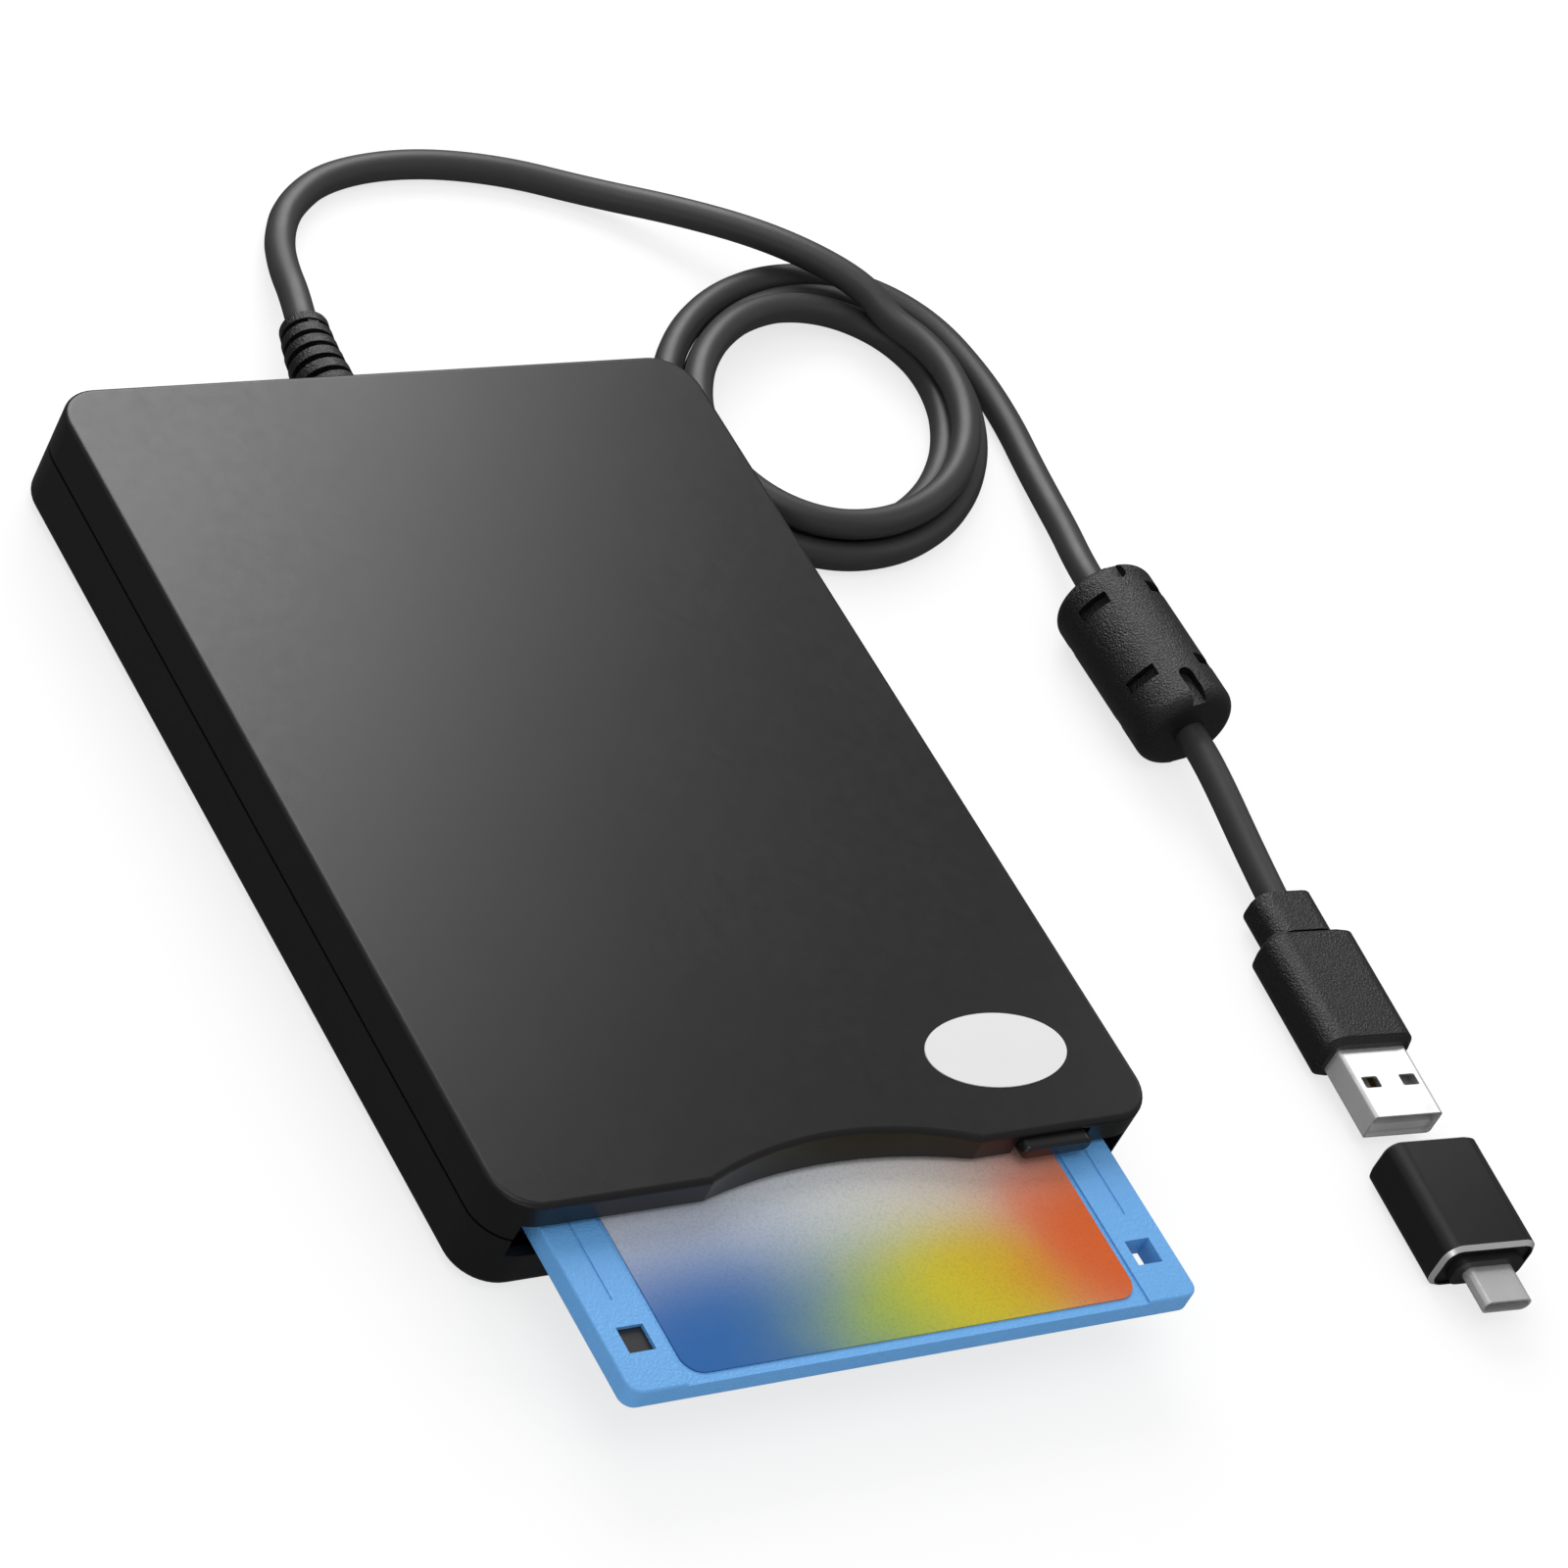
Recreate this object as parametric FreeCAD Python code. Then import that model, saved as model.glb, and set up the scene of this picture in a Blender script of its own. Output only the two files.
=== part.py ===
import FreeCAD, Part
import math
import os

from FreeCAD import Vector

# External floppy disk drive with a disk half out of its slot, a captive cord with one coil,
# a ferrite bead, a flat plug and a slip-on plug adapter. Millimetres, +Z up.
# The origin is the middle of the housing's footprint, at the soles of the feet.
# The disk slot faces -Y and the cord leaves at +Y.

# Housing
sideRoom = 7.0
bodyDepth = 143.0
bodyTop = 16.6
footProud = 0.6
partingHeight = 9.5
cornerRadius = 6.5
sideWall = 1.6
topWall = 1.5
floorWall = 1.5
frontWall = 3.0
topEdgeRadius = 0.8
bottomEdgeRadius = 1.5
grooveHeight = 0.4
grooveDepth = 0.45
tongueHeight = 1.2
tongueThickness = 0.7
shellClearance = 0.1

# Slot, finger notch and button in the front
slotPlay = 3.0
slotBottom = 6.8
slotTop = 12.6
notchWidth = 43.0
notchCentre = 0.8
notchDepthTop = 4.4
notchDepthBottom = 2.8
buttonWidth = 11.4
buttonHeight = 2.4
buttonInset = 17.4
buttonBottom = 12.95
buttonProud = 1.8
buttonRadius = 1.1
buttonClearance = 0.3
buttonTravel = 2.0
stemWidth = 7.0

# Feet and screws
footDiameter = 8.0
footThickness = 1.2
footInset = 9.5
screwShank = 2.2
screwHead = 4.2
screwHeadThick = 1.3
screwInset = 6.6
bossWall = 1.6
pilotClearance = 0.05

# Oval badge plate
badgeLength = 22.6
badgeWidth = 12.4
badgeThickness = 0.4
badgeInsetX = 19.7
badgeInsetY = 13.7
badgeProud = 0.12

# Disk
diskWidth = 90.0
diskLength = 94.0
diskThickness = 3.3
diskBottom = 8.6
diskOut = 25.9
diskCorner = 2.0
diskWall = 0.8
hubDistance = 47.0
labelWidth = 71.6
labelLength = 55.0
labelThickness = 0.2
labelInset = 1.4
labelCorner = 3.0
labelStep = 0.3
labelMargin = 0.8
holeSize = 4.0
holeInset = 4.7
holeFromEnd = 7.9
shutterWidth = 32.0
shutterLength = 31.0
shutterSheet = 0.3
shutterLeft = -24.0
shutterTravel = 15.5
slideGap = 0.1
windowWidth = 9.5
windowNear = 4.0
windowLength = 25.0
mediaDiameter = 85.8
mediaThickness = 0.2
hubDiameter = 24.0
hubGap = 1.0
tabWidth = 5.6
tabLength = 8.6
tabTravel = 4.6

# Mechanism
chassisBottom = 3.4
chassisSheet = 0.8
chassisGap = 1.6
chassisInset = 5.5
chassisBackRoom = 16.5
chassisScrewSide = 12.0
chassisScrewFront = 10.0
chassisScrewBack = 9.0
chassisWallTop = 11.0
holderSheet = 0.6
holderGap = 0.5
holderInset = 6.5
holderBackRoom = 2.0
diskPlay = 0.5
rotorDiameter = 40.0
rotorSheet = 0.7
chuckDiameter = 22.0
spindlePin = 3.9
spindleShaft = 3.0
bearingDiameter = 8.0
runningFit = 0.05
coilCount = 9
trackZeroRadius = 39.5
trackTravel = 14.8
armPin = 1.0
rodDiameter = 3.0
rodX = -11.0
screwX = 13.0
leadDiameter = 3.0
railHeight = 6.3
motorDiameter = 8.0
motorLength = 10.5
armSheet = 0.7
postWidth = 2.4
postDepth = 5.5
postApart = 14.0
diskBehind = 0.5
leverPivotInset = 7.0
leverPivotBehind = 7.5
leverPinX = -12.8
leverPinBehind = 2.9
leverSwing = 45.0
leverSheet = 0.8
boardThickness = 1.0
boardLift = 0.8
boardFront = 36.0
boardLeft = -46.0
boardRight = -16.0
bridgeGap = 2.5
bridgeDepth = 10.5
bridgeLeft = -36.0
bridgeRight = 16.0
chipHeight = 1.4
headerHeight = 2.4

# Cord
cordDiameter = 4.5
bootLength = 17.8
bootBend = 50.0
bootTilt = -19.0
bootX = -2.8
bootHeight = 8.4
bootBase = 9.4
bootTip = 7.4
bootRibs = 7
ribWidth = 1.6
coilCentreX = 84.5
coilCentreY = 70.0
coilLong = 23.5
coilShort = 14.5
coilPitch = 5.7
coilBearing = 40.7
coilExitTurn = 3.1

# Ferrite bead
beadDiameter = 15.5
beadLength = 27.5
beadX = 106.3
beadFrontY = -1.0
beadRound = 2.2
beadPit = 1.5
windowTurn = -58.0
windowArc = 5.0
windowAxial = 2.1
windowFromEnd = 5.5
notchTurn = -13.0
notchAxial = 2.4
notchLong = 5.0
coreDiameter = 11.6
coreLength = 21.0
coreBore = 5.2

# Plug and adapter
plugX = 105.3
plugY = -31.2
plugTurn = -4.3
plugHeight = 4.2
neckLength = 7.2
neckWidth = 10.4
neckThick = 6.6
neckRadius = 2.6
mouldLength = 21.0
mouldWidth = 15.6
mouldThick = 8.3
mouldRadius = 2.9
noseChamfer = 0.9
shoulderSlope = 1.2
shellLength = 12.0
shellWidth = 12.0
shellHeight = 4.5
shellSheet = 0.3
shellSeat = 4.0
latchWidth = 2.8
latchLength = 2.0
latchApart = 6.6
latchBehind = 5.1
tongueThick = 1.8
adapterGap = 5.6
adapterLength = 19.2
adapterWidth = 16.0
adapterThick = 8.4
adapterRadius = 2.6
adapterSkin = 0.9
adapterChamfer = 0.6
collarWidth = 11.6
collarThick = 4.8
collarProud = 1.4
tipLength = 6.6
tipWidth = 8.25
tipHeight = 2.4
socketDepth = 12.6
socketPlay = 0.15

floorTop = footProud + floorWall
halfWidth = diskWidth / 2 + sideRoom
slotHalf = diskWidth / 2 + slotPlay
halfDepth = bodyDepth / 2
frontY = -halfDepth
buttonCentreX = halfWidth - buttonInset
badgeX = halfWidth - badgeInsetX
badgeY = frontY + badgeInsetY
diskTop = diskBottom + diskThickness
diskFrontY = frontY - diskOut
diskBackY = diskFrontY + diskLength
spindleY = diskBackY + diskOut - hubDistance
headY = spindleY + trackZeroRadius
chassisTop = chassisBottom + chassisSheet
holderTop = diskTop + diskPlay + holderSheet
holderHalf = diskWidth / 2 + holderGap
holderFront = frontY + holderInset
holderBack = diskBackY + diskOut + holderBackRoom
chassisHalf = holderHalf + holderSheet + chassisGap + chassisSheet
chassisFront = frontY + chassisInset
chassisBack = halfDepth - chassisBackRoom
leverPivotX = leverPivotInset - diskWidth / 2
leverPivotY = diskBackY + diskOut + leverPivotBehind
leverPinY = diskBackY + diskOut + leverPinBehind
bridgeFront = chassisBack + bridgeGap


def box(x0, x1, y0, y1, z0, z1):
    return Part.makeBox(x1 - x0, y1 - y0, z1 - z0, Vector(x0, y0, z0))


def rod(x, y, z, radius, height, axis=Vector(0, 0, 1)):
    return Part.makeCylinder(radius, height, Vector(x, y, z), axis)


def roundedBox(x0, x1, y0, y1, z0, z1, radius):
    solid = box(x0, x1, y0, y1, z0, z1)
    upright = [e for e in solid.Edges if abs(e.tangentAt(e.FirstParameter).z) > 0.9]
    return solid.makeFillet(radius, upright)


def edgesAt(solid, height, tolerance=1e-4):
    return [e for e in solid.Edges
            if abs(e.BoundBox.ZMin - height) < tolerance and abs(e.BoundBox.ZMax - height) < tolerance]


def fused(shapes):
    return shapes[0].multiFuse(shapes[1:]).removeSplitter()


def save(name, shape):
    shape.exportStep("parts/" + name + ".step")
    print(name, round(shape.Volume, 2), len(shape.Solids), shape.isValid())


def shellBlock(inset, z0, z1, front=None):
    """A block with the housing's outline, drawn in by inset, and by front at the slot side."""
    nearY = frontY + (inset if front is None else front)
    radius = cornerRadius - inset
    return roundedBox(-halfWidth + inset, halfWidth - inset, nearY, halfDepth - inset, z0, z1, radius)


def notchCutter(extra):
    """The finger notch in the front lip: one shallow arc, deeper at the top than at the slot."""
    def arcFace(depth, z):
        near = frontY - 4.0
        left = Vector(notchCentre - notchWidth / 2 - extra, frontY, z)
        deep = Vector(notchCentre, frontY + depth + extra, z)
        right = Vector(notchCentre + notchWidth / 2 + extra, frontY, z)
        arc = Part.Arc(left, deep, right).toShape()
        outline = Part.makePolygon([right, Vector(right.x, near, z), Vector(left.x, near, z), left])
        return Part.Wire([arc] + outline.Edges)
    slope = (notchDepthTop - notchDepthBottom) / (bodyTop - slotTop)
    low = slotBottom
    high = bodyTop + 1.0
    wires = [arcFace(notchDepthBottom - slope * (slotTop - low), low),
             arcFace(notchDepthTop + slope * (high - bodyTop), high)]
    return Part.makeLoft(wires, True, True)


def buttonCut(clearance):
    x0 = buttonCentreX - buttonWidth / 2 - clearance
    x1 = buttonCentreX + buttonWidth / 2 + clearance
    top = buttonBottom + buttonHeight + clearance
    return box(x0, x1, frontY - 1, frontY + frontWall + buttonTravel + 1.2, slotTop - 1, top)


def bossPlaces():
    x = halfWidth - screwInset
    y = halfDepth - screwInset
    return [Vector(-x, y, 0), Vector(x, y, 0)]


def footPlaces():
    x = halfWidth - footInset
    y = halfDepth - footInset
    return [Vector(sx * x, sy * y, 0) for sx in (-1, 1) for sy in (-1, 1)]


def bootPoint(s):
    """Point and direction on the bent axis of the strain relief at length s from the wall."""
    tilt = math.radians(bootTilt)
    side = Vector(math.cos(tilt), 0, math.sin(tilt))
    angle = s / bootBend
    point = Vector(bootX, halfDepth, bootHeight) + Vector(0, bootBend * math.sin(angle), 0)
    point = point + side * (bootBend * (1 - math.cos(angle)))
    return point, Vector(0, math.cos(angle), 0) + side * math.sin(angle)


def upperCover():
    cover = shellBlock(0, partingHeight, bodyTop)
    cover = cover.cut(notchCutter(0))
    rim = [e for e in edgesAt(cover, bodyTop)]
    cover = cover.makeFillet(topEdgeRadius, rim)
    cavity = shellBlock(sideWall, partingHeight - 1, bodyTop - topWall, frontWall)
    cavity = cavity.cut(notchCutter(sideWall))
    cover = cover.cut(cavity)
    rebate = shellBlock(tongueThickness + shellClearance, partingHeight - 1,
                        partingHeight + tongueHeight + shellClearance)
    inner = shellBlock(sideWall + 0.01, partingHeight - 2, partingHeight + tongueHeight + 1)
    cover = cover.cut(rebate.cut(inner).cut(box(-halfWidth, halfWidth, frontY - 1, frontY + 9, 0, bodyTop)))
    ring = shellBlock(-1, partingHeight - 1, partingHeight + grooveHeight)
    cover = cover.cut(ring.cut(shellBlock(grooveDepth, partingHeight - 2, partingHeight + 2)))
    cover = cover.cut(box(-slotHalf, slotHalf, frontY - 1, frontY + frontWall + 6,
                          partingHeight - 1, slotTop))
    cover = cover.cut(buttonCut(buttonClearance))
    base = bootPoint(0)[0]
    cover = cover.cut(rod(base.x, halfDepth - sideWall - 1, base.z, bootBase / 2, sideWall + 2, Vector(0, 1, 0)))
    for place in bossPlaces():
        post = rod(place.x, place.y, partingHeight + 0.1, screwShank / 2 + bossWall, bodyTop - topWall - partingHeight)
        bore = rod(place.x, place.y, partingHeight - 1, screwShank / 2 + pilotClearance, 5.5)
        cover = cover.fuse(post).cut(bore)
    for x in (-30.0, 0.0, 30.0):
        cover = cover.fuse(box(x - 0.5, x + 0.5, 44, halfDepth - sideWall, bodyTop - topWall - 0.7, bodyTop - topWall))
    plate = badgeSolid(badgeThickness + 0.02, badgeProud - badgeThickness - 0.02, 0.05)
    return cover.cut(plate).removeSplitter()


def badgeSolid(thick, lift, grow):
    ellipse = Part.Ellipse(Vector(0, 0, 0), badgeLength / 2 + grow, badgeWidth / 2 + grow)
    face = Part.Face(Part.Wire(ellipse.toShape()))
    solid = face.extrude(Vector(0, 0, thick))
    solid.translate(Vector(badgeX, badgeY, bodyTop + lift))
    return solid


def badgePlate():
    return badgeSolid(badgeThickness, badgeProud - badgeThickness, 0)


def lowerCase():
    case = shellBlock(0, footProud, partingHeight)
    case = case.makeFillet(bottomEdgeRadius, edgesAt(case, footProud))
    case = case.cut(shellBlock(sideWall, floorTop, partingHeight + 1))
    tongue = shellBlock(sideWall - tongueThickness, partingHeight - 1, partingHeight + tongueHeight)
    tongue = tongue.cut(shellBlock(sideWall, partingHeight - 2, partingHeight + 2))
    tongue = tongue.cut(box(-halfWidth, halfWidth, frontY - 1, frontY + 9, 0, bodyTop))
    case = case.fuse(tongue)
    case = case.cut(box(-slotHalf, slotHalf, frontY - 1, frontY + 6, slotBottom, bodyTop))
    base = bootPoint(0)[0]
    case = case.cut(rod(base.x, halfDepth - sideWall - 1, base.z, bootBase / 2, sideWall + 2, Vector(0, 1, 0)))
    for place in bossPlaces():
        post = rod(place.x, place.y, floorTop, screwShank / 2 + bossWall + 0.6, partingHeight - floorTop)
        case = case.fuse(post)
        case = case.cut(rod(place.x, place.y, 0, screwShank / 2 + 0.15, 20))
        case = case.cut(rod(place.x, place.y, 0, screwHead / 2 + 0.15, footProud + 1 + screwHeadThick))
    for place in footPlaces():
        case = case.cut(rod(place.x, place.y, 0, footDiameter / 2 + 0.05, footThickness))
    for x, y in chassisScrewPlaces():
        case = case.fuse(rod(x, y, floorTop, 2.6, chassisBottom - floorTop))
        case = case.cut(rod(x, y, floorTop - 0.6, screwShank / 2 + pilotClearance, 4))
    for x in (-24.0, 24.0):
        case = case.fuse(box(x - 0.5, x + 0.5, frontY + 8, halfDepth - sideWall, floorTop, floorTop + 0.8))
    for x in (bridgeLeft + 2.0, bridgeRight - 2.0):
        case = case.fuse(box(x - 2, x + 2, bridgeFront + 3.0, bridgeFront + 7.0, floorTop, boardHeight()))
    return case.removeSplitter()


def boardHeight():
    return chassisTop


def chassisScrewPlaces():
    x = halfWidth - chassisScrewSide
    return [(sx * x, y) for sx in (-1, 1) for y in (chassisFront + chassisScrewFront, chassisBack - chassisScrewBack)]


def rubberFeet():
    feet = []
    for place in footPlaces():
        foot = rod(place.x, place.y, 0, footDiameter / 2, footThickness)
        feet.append(foot.makeFillet(0.3, edgesAt(foot, 0)))
    return Part.makeCompound(feet)


def screw(x, y, z, length, up=1):
    """A pan-head screw whose head's flat side is at z and whose shank runs up (or down)."""
    axis = Vector(0, 0, up)
    shank = rod(x, y, z, screwShank / 2, length, axis)
    head = rod(x, y, z, screwHead / 2, screwHeadThick, Vector(0, 0, -up))
    head = head.makeFillet(0.5, edgesAt(head, z - up * screwHeadThick))
    return shank.fuse(head).removeSplitter()


def caseScrews():
    top = footProud + 1 + screwHeadThick
    return Part.makeCompound([screw(p.x, p.y, top, 11.0) for p in bossPlaces()])


def chassisScrews():
    return Part.makeCompound([screw(x, y, chassisTop, 2.0, -1) for x, y in chassisScrewPlaces()])


def ejectButton():
    x0 = buttonCentreX - buttonWidth / 2
    x1 = buttonCentreX + buttonWidth / 2
    z1 = buttonBottom + buttonHeight
    head = box(x0, x1, frontY - buttonProud, frontY + frontWall + 0.5, buttonBottom, z1)
    sides = [e for e in head.Edges if abs(e.tangentAt(e.FirstParameter).y) > 0.9]
    head = head.makeFillet(buttonRadius, sides)
    front = [e for e in head.Edges if e.BoundBox.YMax < frontY - buttonProud + 1e-3]
    head = head.makeFillet(0.5, front)
    stem = box(buttonCentreX - stemWidth / 2, buttonCentreX + stemWidth / 2,
               frontY + frontWall, slideFrontY(), slideBottom(), slideBottom() + leverSheet + 0.4)
    return head.fuse(stem).removeSplitter()


def slideFrontY():
    return frontY + frontWall + 3.0


def slideBottom():
    return holderTop + 0.4


def ejectSlide():
    """The sheet that the button pushes, with two long guide slots and a spring tab."""
    z0 = slideBottom()
    z1 = z0 + leverSheet
    x0 = buttonCentreX - 8.0
    plate = box(x0, buttonCentreX + 9.0, slideFrontY(), holderBack - 4.0, z0, z1)
    plate = plate.cut(box(x0 - 1, x0 + 7.0, slideFrontY() + 18.0, holderBack - 22.0, z0 - 1, z1 + 1))
    for y in studPlaces():
        slot = box(buttonCentreX + 1.0 - 1.7, buttonCentreX + 1.0 + 1.7, y - 1.7 - buttonTravel, y + 1.7, z0 - 1, z1 + 1)
        upright = [e for e in slot.Edges if abs(e.tangentAt(e.FirstParameter).z) > 0.9]
        plate = plate.cut(slot.makeFillet(1.6, upright))
    return plate


def studPlaces():
    return (frontY + 14.0, holderBack - 14.0)


def diskHolder():
    """The folded sheet that guides the disk: top plate, two walls and two lower flanges."""
    x1 = holderHalf + holderSheet
    z0 = diskBottom - diskPlay - holderSheet
    top = box(-x1, x1, holderFront, holderBack, holderTop - holderSheet, holderTop)
    holder = top
    for side in (-1, 1):
        wall = box(min(side * holderHalf, side * x1), max(side * holderHalf, side * x1),
                   holderFront, holderBack, z0, holderTop)
        flange = box(min(side * (holderHalf - 4), side * x1), max(side * (holderHalf - 4), side * x1),
                     holderFront, holderBack, z0, z0 + holderSheet)
        holder = holder.fuse(wall).fuse(flange)
    holder = holder.cut(box(-12.0, 12.0, headY - trackTravel - 10.0, holderBack + 1, holderTop - 2, holderTop + 1))
    holder = holder.cut(leverSweep(holderTop - 2, holderTop + 1))
    for x in (-30.0, 0.0, 22.0):
        holder = holder.cut(roundedBox(x - 7, x + 7, -52, -34, holderTop - 2, holderTop + 1, 3.0))
    for y in studPlaces():
        holder = holder.fuse(rod(buttonCentreX + 1.0, y, holderTop - 0.1, 1.4, 1.5))
    return holder.removeSplitter()


def leverSweep(z0, z1):
    """The arc slot that the trigger lever's pin travels in."""
    reach = Vector(leverPinX - leverPivotX, leverPinY - leverPivotY, 0)
    radius = reach.Length
    start = math.degrees(math.atan2(reach.y, reach.x)) - leverSwing - 5.0
    turn = leverSwing + 12.0
    outer = Part.makeCylinder(radius + 1.6, z1 - z0, Vector(leverPivotX, leverPivotY, z0), Vector(0, 0, 1), turn)
    inner = Part.makeCylinder(radius - 1.6, z1 - z0 + 2, Vector(leverPivotX, leverPivotY, z0 - 1))
    ring = outer.cut(inner)
    ring.rotate(Vector(leverPivotX, leverPivotY, 0), Vector(0, 0, 1), start)
    return ring


def triggerLever():
    z0 = slideBottom()
    z1 = z0 + leverSheet
    pivot = Vector(leverPivotX, leverPivotY, z0)
    pin = Vector(leverPinX, leverPinY, z0)
    arm = barBetween(pivot, pin, 5.0, leverSheet)
    hub = rod(pivot.x, pivot.y, z0, 4.0, leverSheet)
    finger = rod(pin.x, pin.y, diskBottom + 0.6, 1.1, z1 - diskBottom - 0.6)
    lever = fused([arm, hub, finger])
    return lever.cut(rod(pivot.x, pivot.y, z0 - 1, 1.5 + runningFit, leverSheet + 2))


def barBetween(a, b, width, thick):
    """A flat link with round ends between two pivots at the same height."""
    along = b - a
    bar = box(0, along.Length, -width / 2, width / 2, 0, thick)
    bar = bar.fuse(rod(along.Length, 0, 0, width / 2, thick))
    bar.rotate(Vector(0, 0, 0), Vector(0, 0, 1), math.degrees(math.atan2(along.y, along.x)))
    bar.translate(a)
    return bar


def leverPost():
    z1 = slideBottom() + leverSheet + 0.2
    post = rod(leverPivotX, leverPivotY, chassisTop, 2.6, slideBottom() - 0.1 - chassisTop)
    pin = rod(leverPivotX, leverPivotY, chassisTop, 1.5, z1 - chassisTop)
    return post.fuse(pin).removeSplitter()


def chassisPlate():
    """The folded sheet frame: base, two side walls with holder ears, openings for motor and heads."""
    half = chassisHalf
    base = box(-half, half, chassisFront, chassisBack, chassisBottom, chassisTop)
    frame = base
    for side in (-1, 1):
        inner = side * (half - chassisSheet)
        wall = box(min(inner, side * half), max(inner, side * half), chassisFront, chassisBack,
                   chassisBottom, chassisWallTop)
        wall = wall.cut(box(min(inner, side * half) - 1, max(inner, side * half) + 1, -30, 8,
                            chassisTop + 2.5, chassisWallTop + 1))
        frame = frame.fuse(wall)
    frame = frame.cut(rod(0, spindleY, chassisBottom - 1, bearingDiameter / 2, 3))
    frame = frame.cut(roundedBox(-9, 9, headY - trackTravel - 12, headY + 13, chassisBottom - 1, chassisTop + 1, 2.0))
    frame = frame.cut(box(screwX - 5, screwX + 5, motorFrontY() - 0.5, motorFrontY() + motorLength + 0.5,
                          chassisBottom - 1, chassisTop + 1))
    for x, y in chassisScrewPlaces():
        frame = frame.cut(rod(x, y, chassisBottom - 1, screwShank / 2 + 0.2, 4))
    for x in (-26.0, 26.0):
        frame = frame.cut(roundedBox(x - 9, x + 9, -54, -44, chassisBottom - 1, chassisTop + 1, 3.0))
    for side in (-1, 1):
        for y in (-50.0, 16.0):
            ear = box(min(side * (holderHalf + holderSheet), side * half),
                      max(side * (holderHalf + holderSheet), side * half), y - 3, y + 3,
                      chassisWallTop - chassisSheet, chassisWallTop)
            frame = frame.fuse(ear)
    return frame.removeSplitter()


def motorFrontY():
    return postFrontY() + postDepth + 2.7


def spindleBearing():
    outer = rod(0, spindleY, chassisBottom, bearingDiameter / 2, 2.6)
    flange = rod(0, spindleY, chassisTop, bearingDiameter / 2 + 2.0, 0.5)
    return outer.fuse(flange).cut(rod(0, spindleY, 0, spindleShaft / 2 + runningFit, 20)).removeSplitter()


def spindleStator():
    """Drive coils in a ring, each a flat oval bobbin with an open middle."""
    coils = []
    for i in range(coilCount):
        bobbin = roundedBox(9.6, 17.4, -2.5, 2.5, chassisTop + 0.1, chassisTop + 1.5, 2.0)
        bobbin = bobbin.cut(roundedBox(11.6, 15.4, -0.9, 0.9, chassisTop - 1, chassisTop + 3, 0.7))
        bobbin.rotate(Vector(0, 0, 0), Vector(0, 0, 1), 360.0 * i / coilCount)
        bobbin.translate(Vector(0, spindleY, 0))
        coils.append(bobbin)
    return Part.makeCompound(coils)


def spindleRotor():
    radius = rotorDiameter / 2
    top = diskBottom - 1.5
    cup = rod(0, spindleY, chassisTop + 0.5, radius, top - chassisTop - 0.5)
    cup = cup.makeFillet(0.6, edgesAt(cup, top))
    cup = cup.cut(rod(0, spindleY, chassisTop, radius - 1.2, top - rotorSheet - chassisTop))
    chuck = rod(0, spindleY, top - 0.1, chuckDiameter / 2, 0.6)
    pin = rod(0, spindleY, top, spindlePin / 2, diskBottom - 0.4 - top)
    driver = rod(10.0, spindleY, top, 1.0, diskBottom - 0.4 - top)
    shaft = rod(0, spindleY, chassisBottom, spindleShaft / 2, top - chassisBottom)
    rotor = fused([cup, chuck, pin, driver, shaft])
    for i in range(6):
        slot = roundedBox(12.5, 17.0, -1.6, 1.6, top - 3, top + 1, 1.2)
        slot.rotate(Vector(0, 0, 0), Vector(0, 0, 1), 60.0 * i + 30.0)
        slot.translate(Vector(0, spindleY, 0))
        rotor = rotor.cut(slot)
    return rotor


def headCarriage():
    """The moulded sled: a low nose under the disk, a bush on the rod and a post for the arm."""
    z0 = chassisTop + 0.4
    nose = box(-7.5, 7.5, headY - 3.2, headY + 18, z0, diskBottom - 1.0)
    nose = nose.cut(box(-4.5, 4.5, headY - 2.6, headY + 2.6, diskBottom - 1.6, diskBottom))
    rear = box(rodX - 3.4, screwX + 3.4, headY + 10, headY + 19, z0, diskBottom - 0.4)
    posts = []
    for side in (-1, 1):
        x = side * postApart / 2
        posts.append(box(x - postWidth / 2, x + postWidth / 2, postFrontY(), postFrontY() + postDepth, z0,
                         slideBottom() + 1.4))
    outer = (postApart + postWidth) / 2
    bridge = box(-outer, outer, headY + 17.5, postFrontY() + postDepth, z0, diskBottom - 0.4)
    sled = fused([nose, rear, bridge] + posts)
    sled = sled.cut(rod(rodX, 0, railHeight, rodDiameter / 2 + runningFit, 100, Vector(0, 1, 0)))
    sled = sled.cut(rod(screwX, 0, railHeight, leadDiameter / 2 + runningFit, 100, Vector(0, 1, 0)))
    sled = sled.cut(rod(-20, armPivotY(), armPivotZ(), armPin / 2 + runningFit, 40, Vector(1, 0, 0)))
    return sled.removeSplitter()


def postFrontY():
    return diskBackY + diskOut + diskBehind + trackTravel


def armPivotY():
    return postFrontY() + postDepth / 2


def armPivotZ():
    return slideBottom() + 0.5


def lowerHead():
    slider = roundedBox(-3.6, 3.6, headY - 1.9, headY + 1.9, diskBottom - 1.6, diskBottom - 0.5, 0.8)
    return slider


def upperHeadArm():
    """The arm over the disk, pivoted on the sled, with a leaf window and a pin through its root."""
    z0 = slideBottom()
    half = (postApart - postWidth) / 2 - 0.3
    plate = box(-half, half, headY - 5, armPivotY() + 2, z0, z0 + armSheet)
    plate = plate.cut(roundedBox(-3, 3, headY + 4, headY + 12, z0 - 1, z0 + 2, 1.5))
    reach = (postApart + postWidth) / 2
    axle = rod(-reach, armPivotY(), armPivotZ(), armPin / 2, 2 * reach, Vector(1, 0, 0))
    return fused([plate, axle])


def upperHead():
    return roundedBox(-3.6, 3.6, headY - 1.9, headY + 1.9, diskTop + 0.5, slideBottom(), 0.8)


def guideRod():
    start = headY - trackTravel + 4.0
    return rod(rodX, start, railHeight, rodDiameter / 2, motorFrontY() + 0.6 - start, Vector(0, 1, 0))


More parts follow.
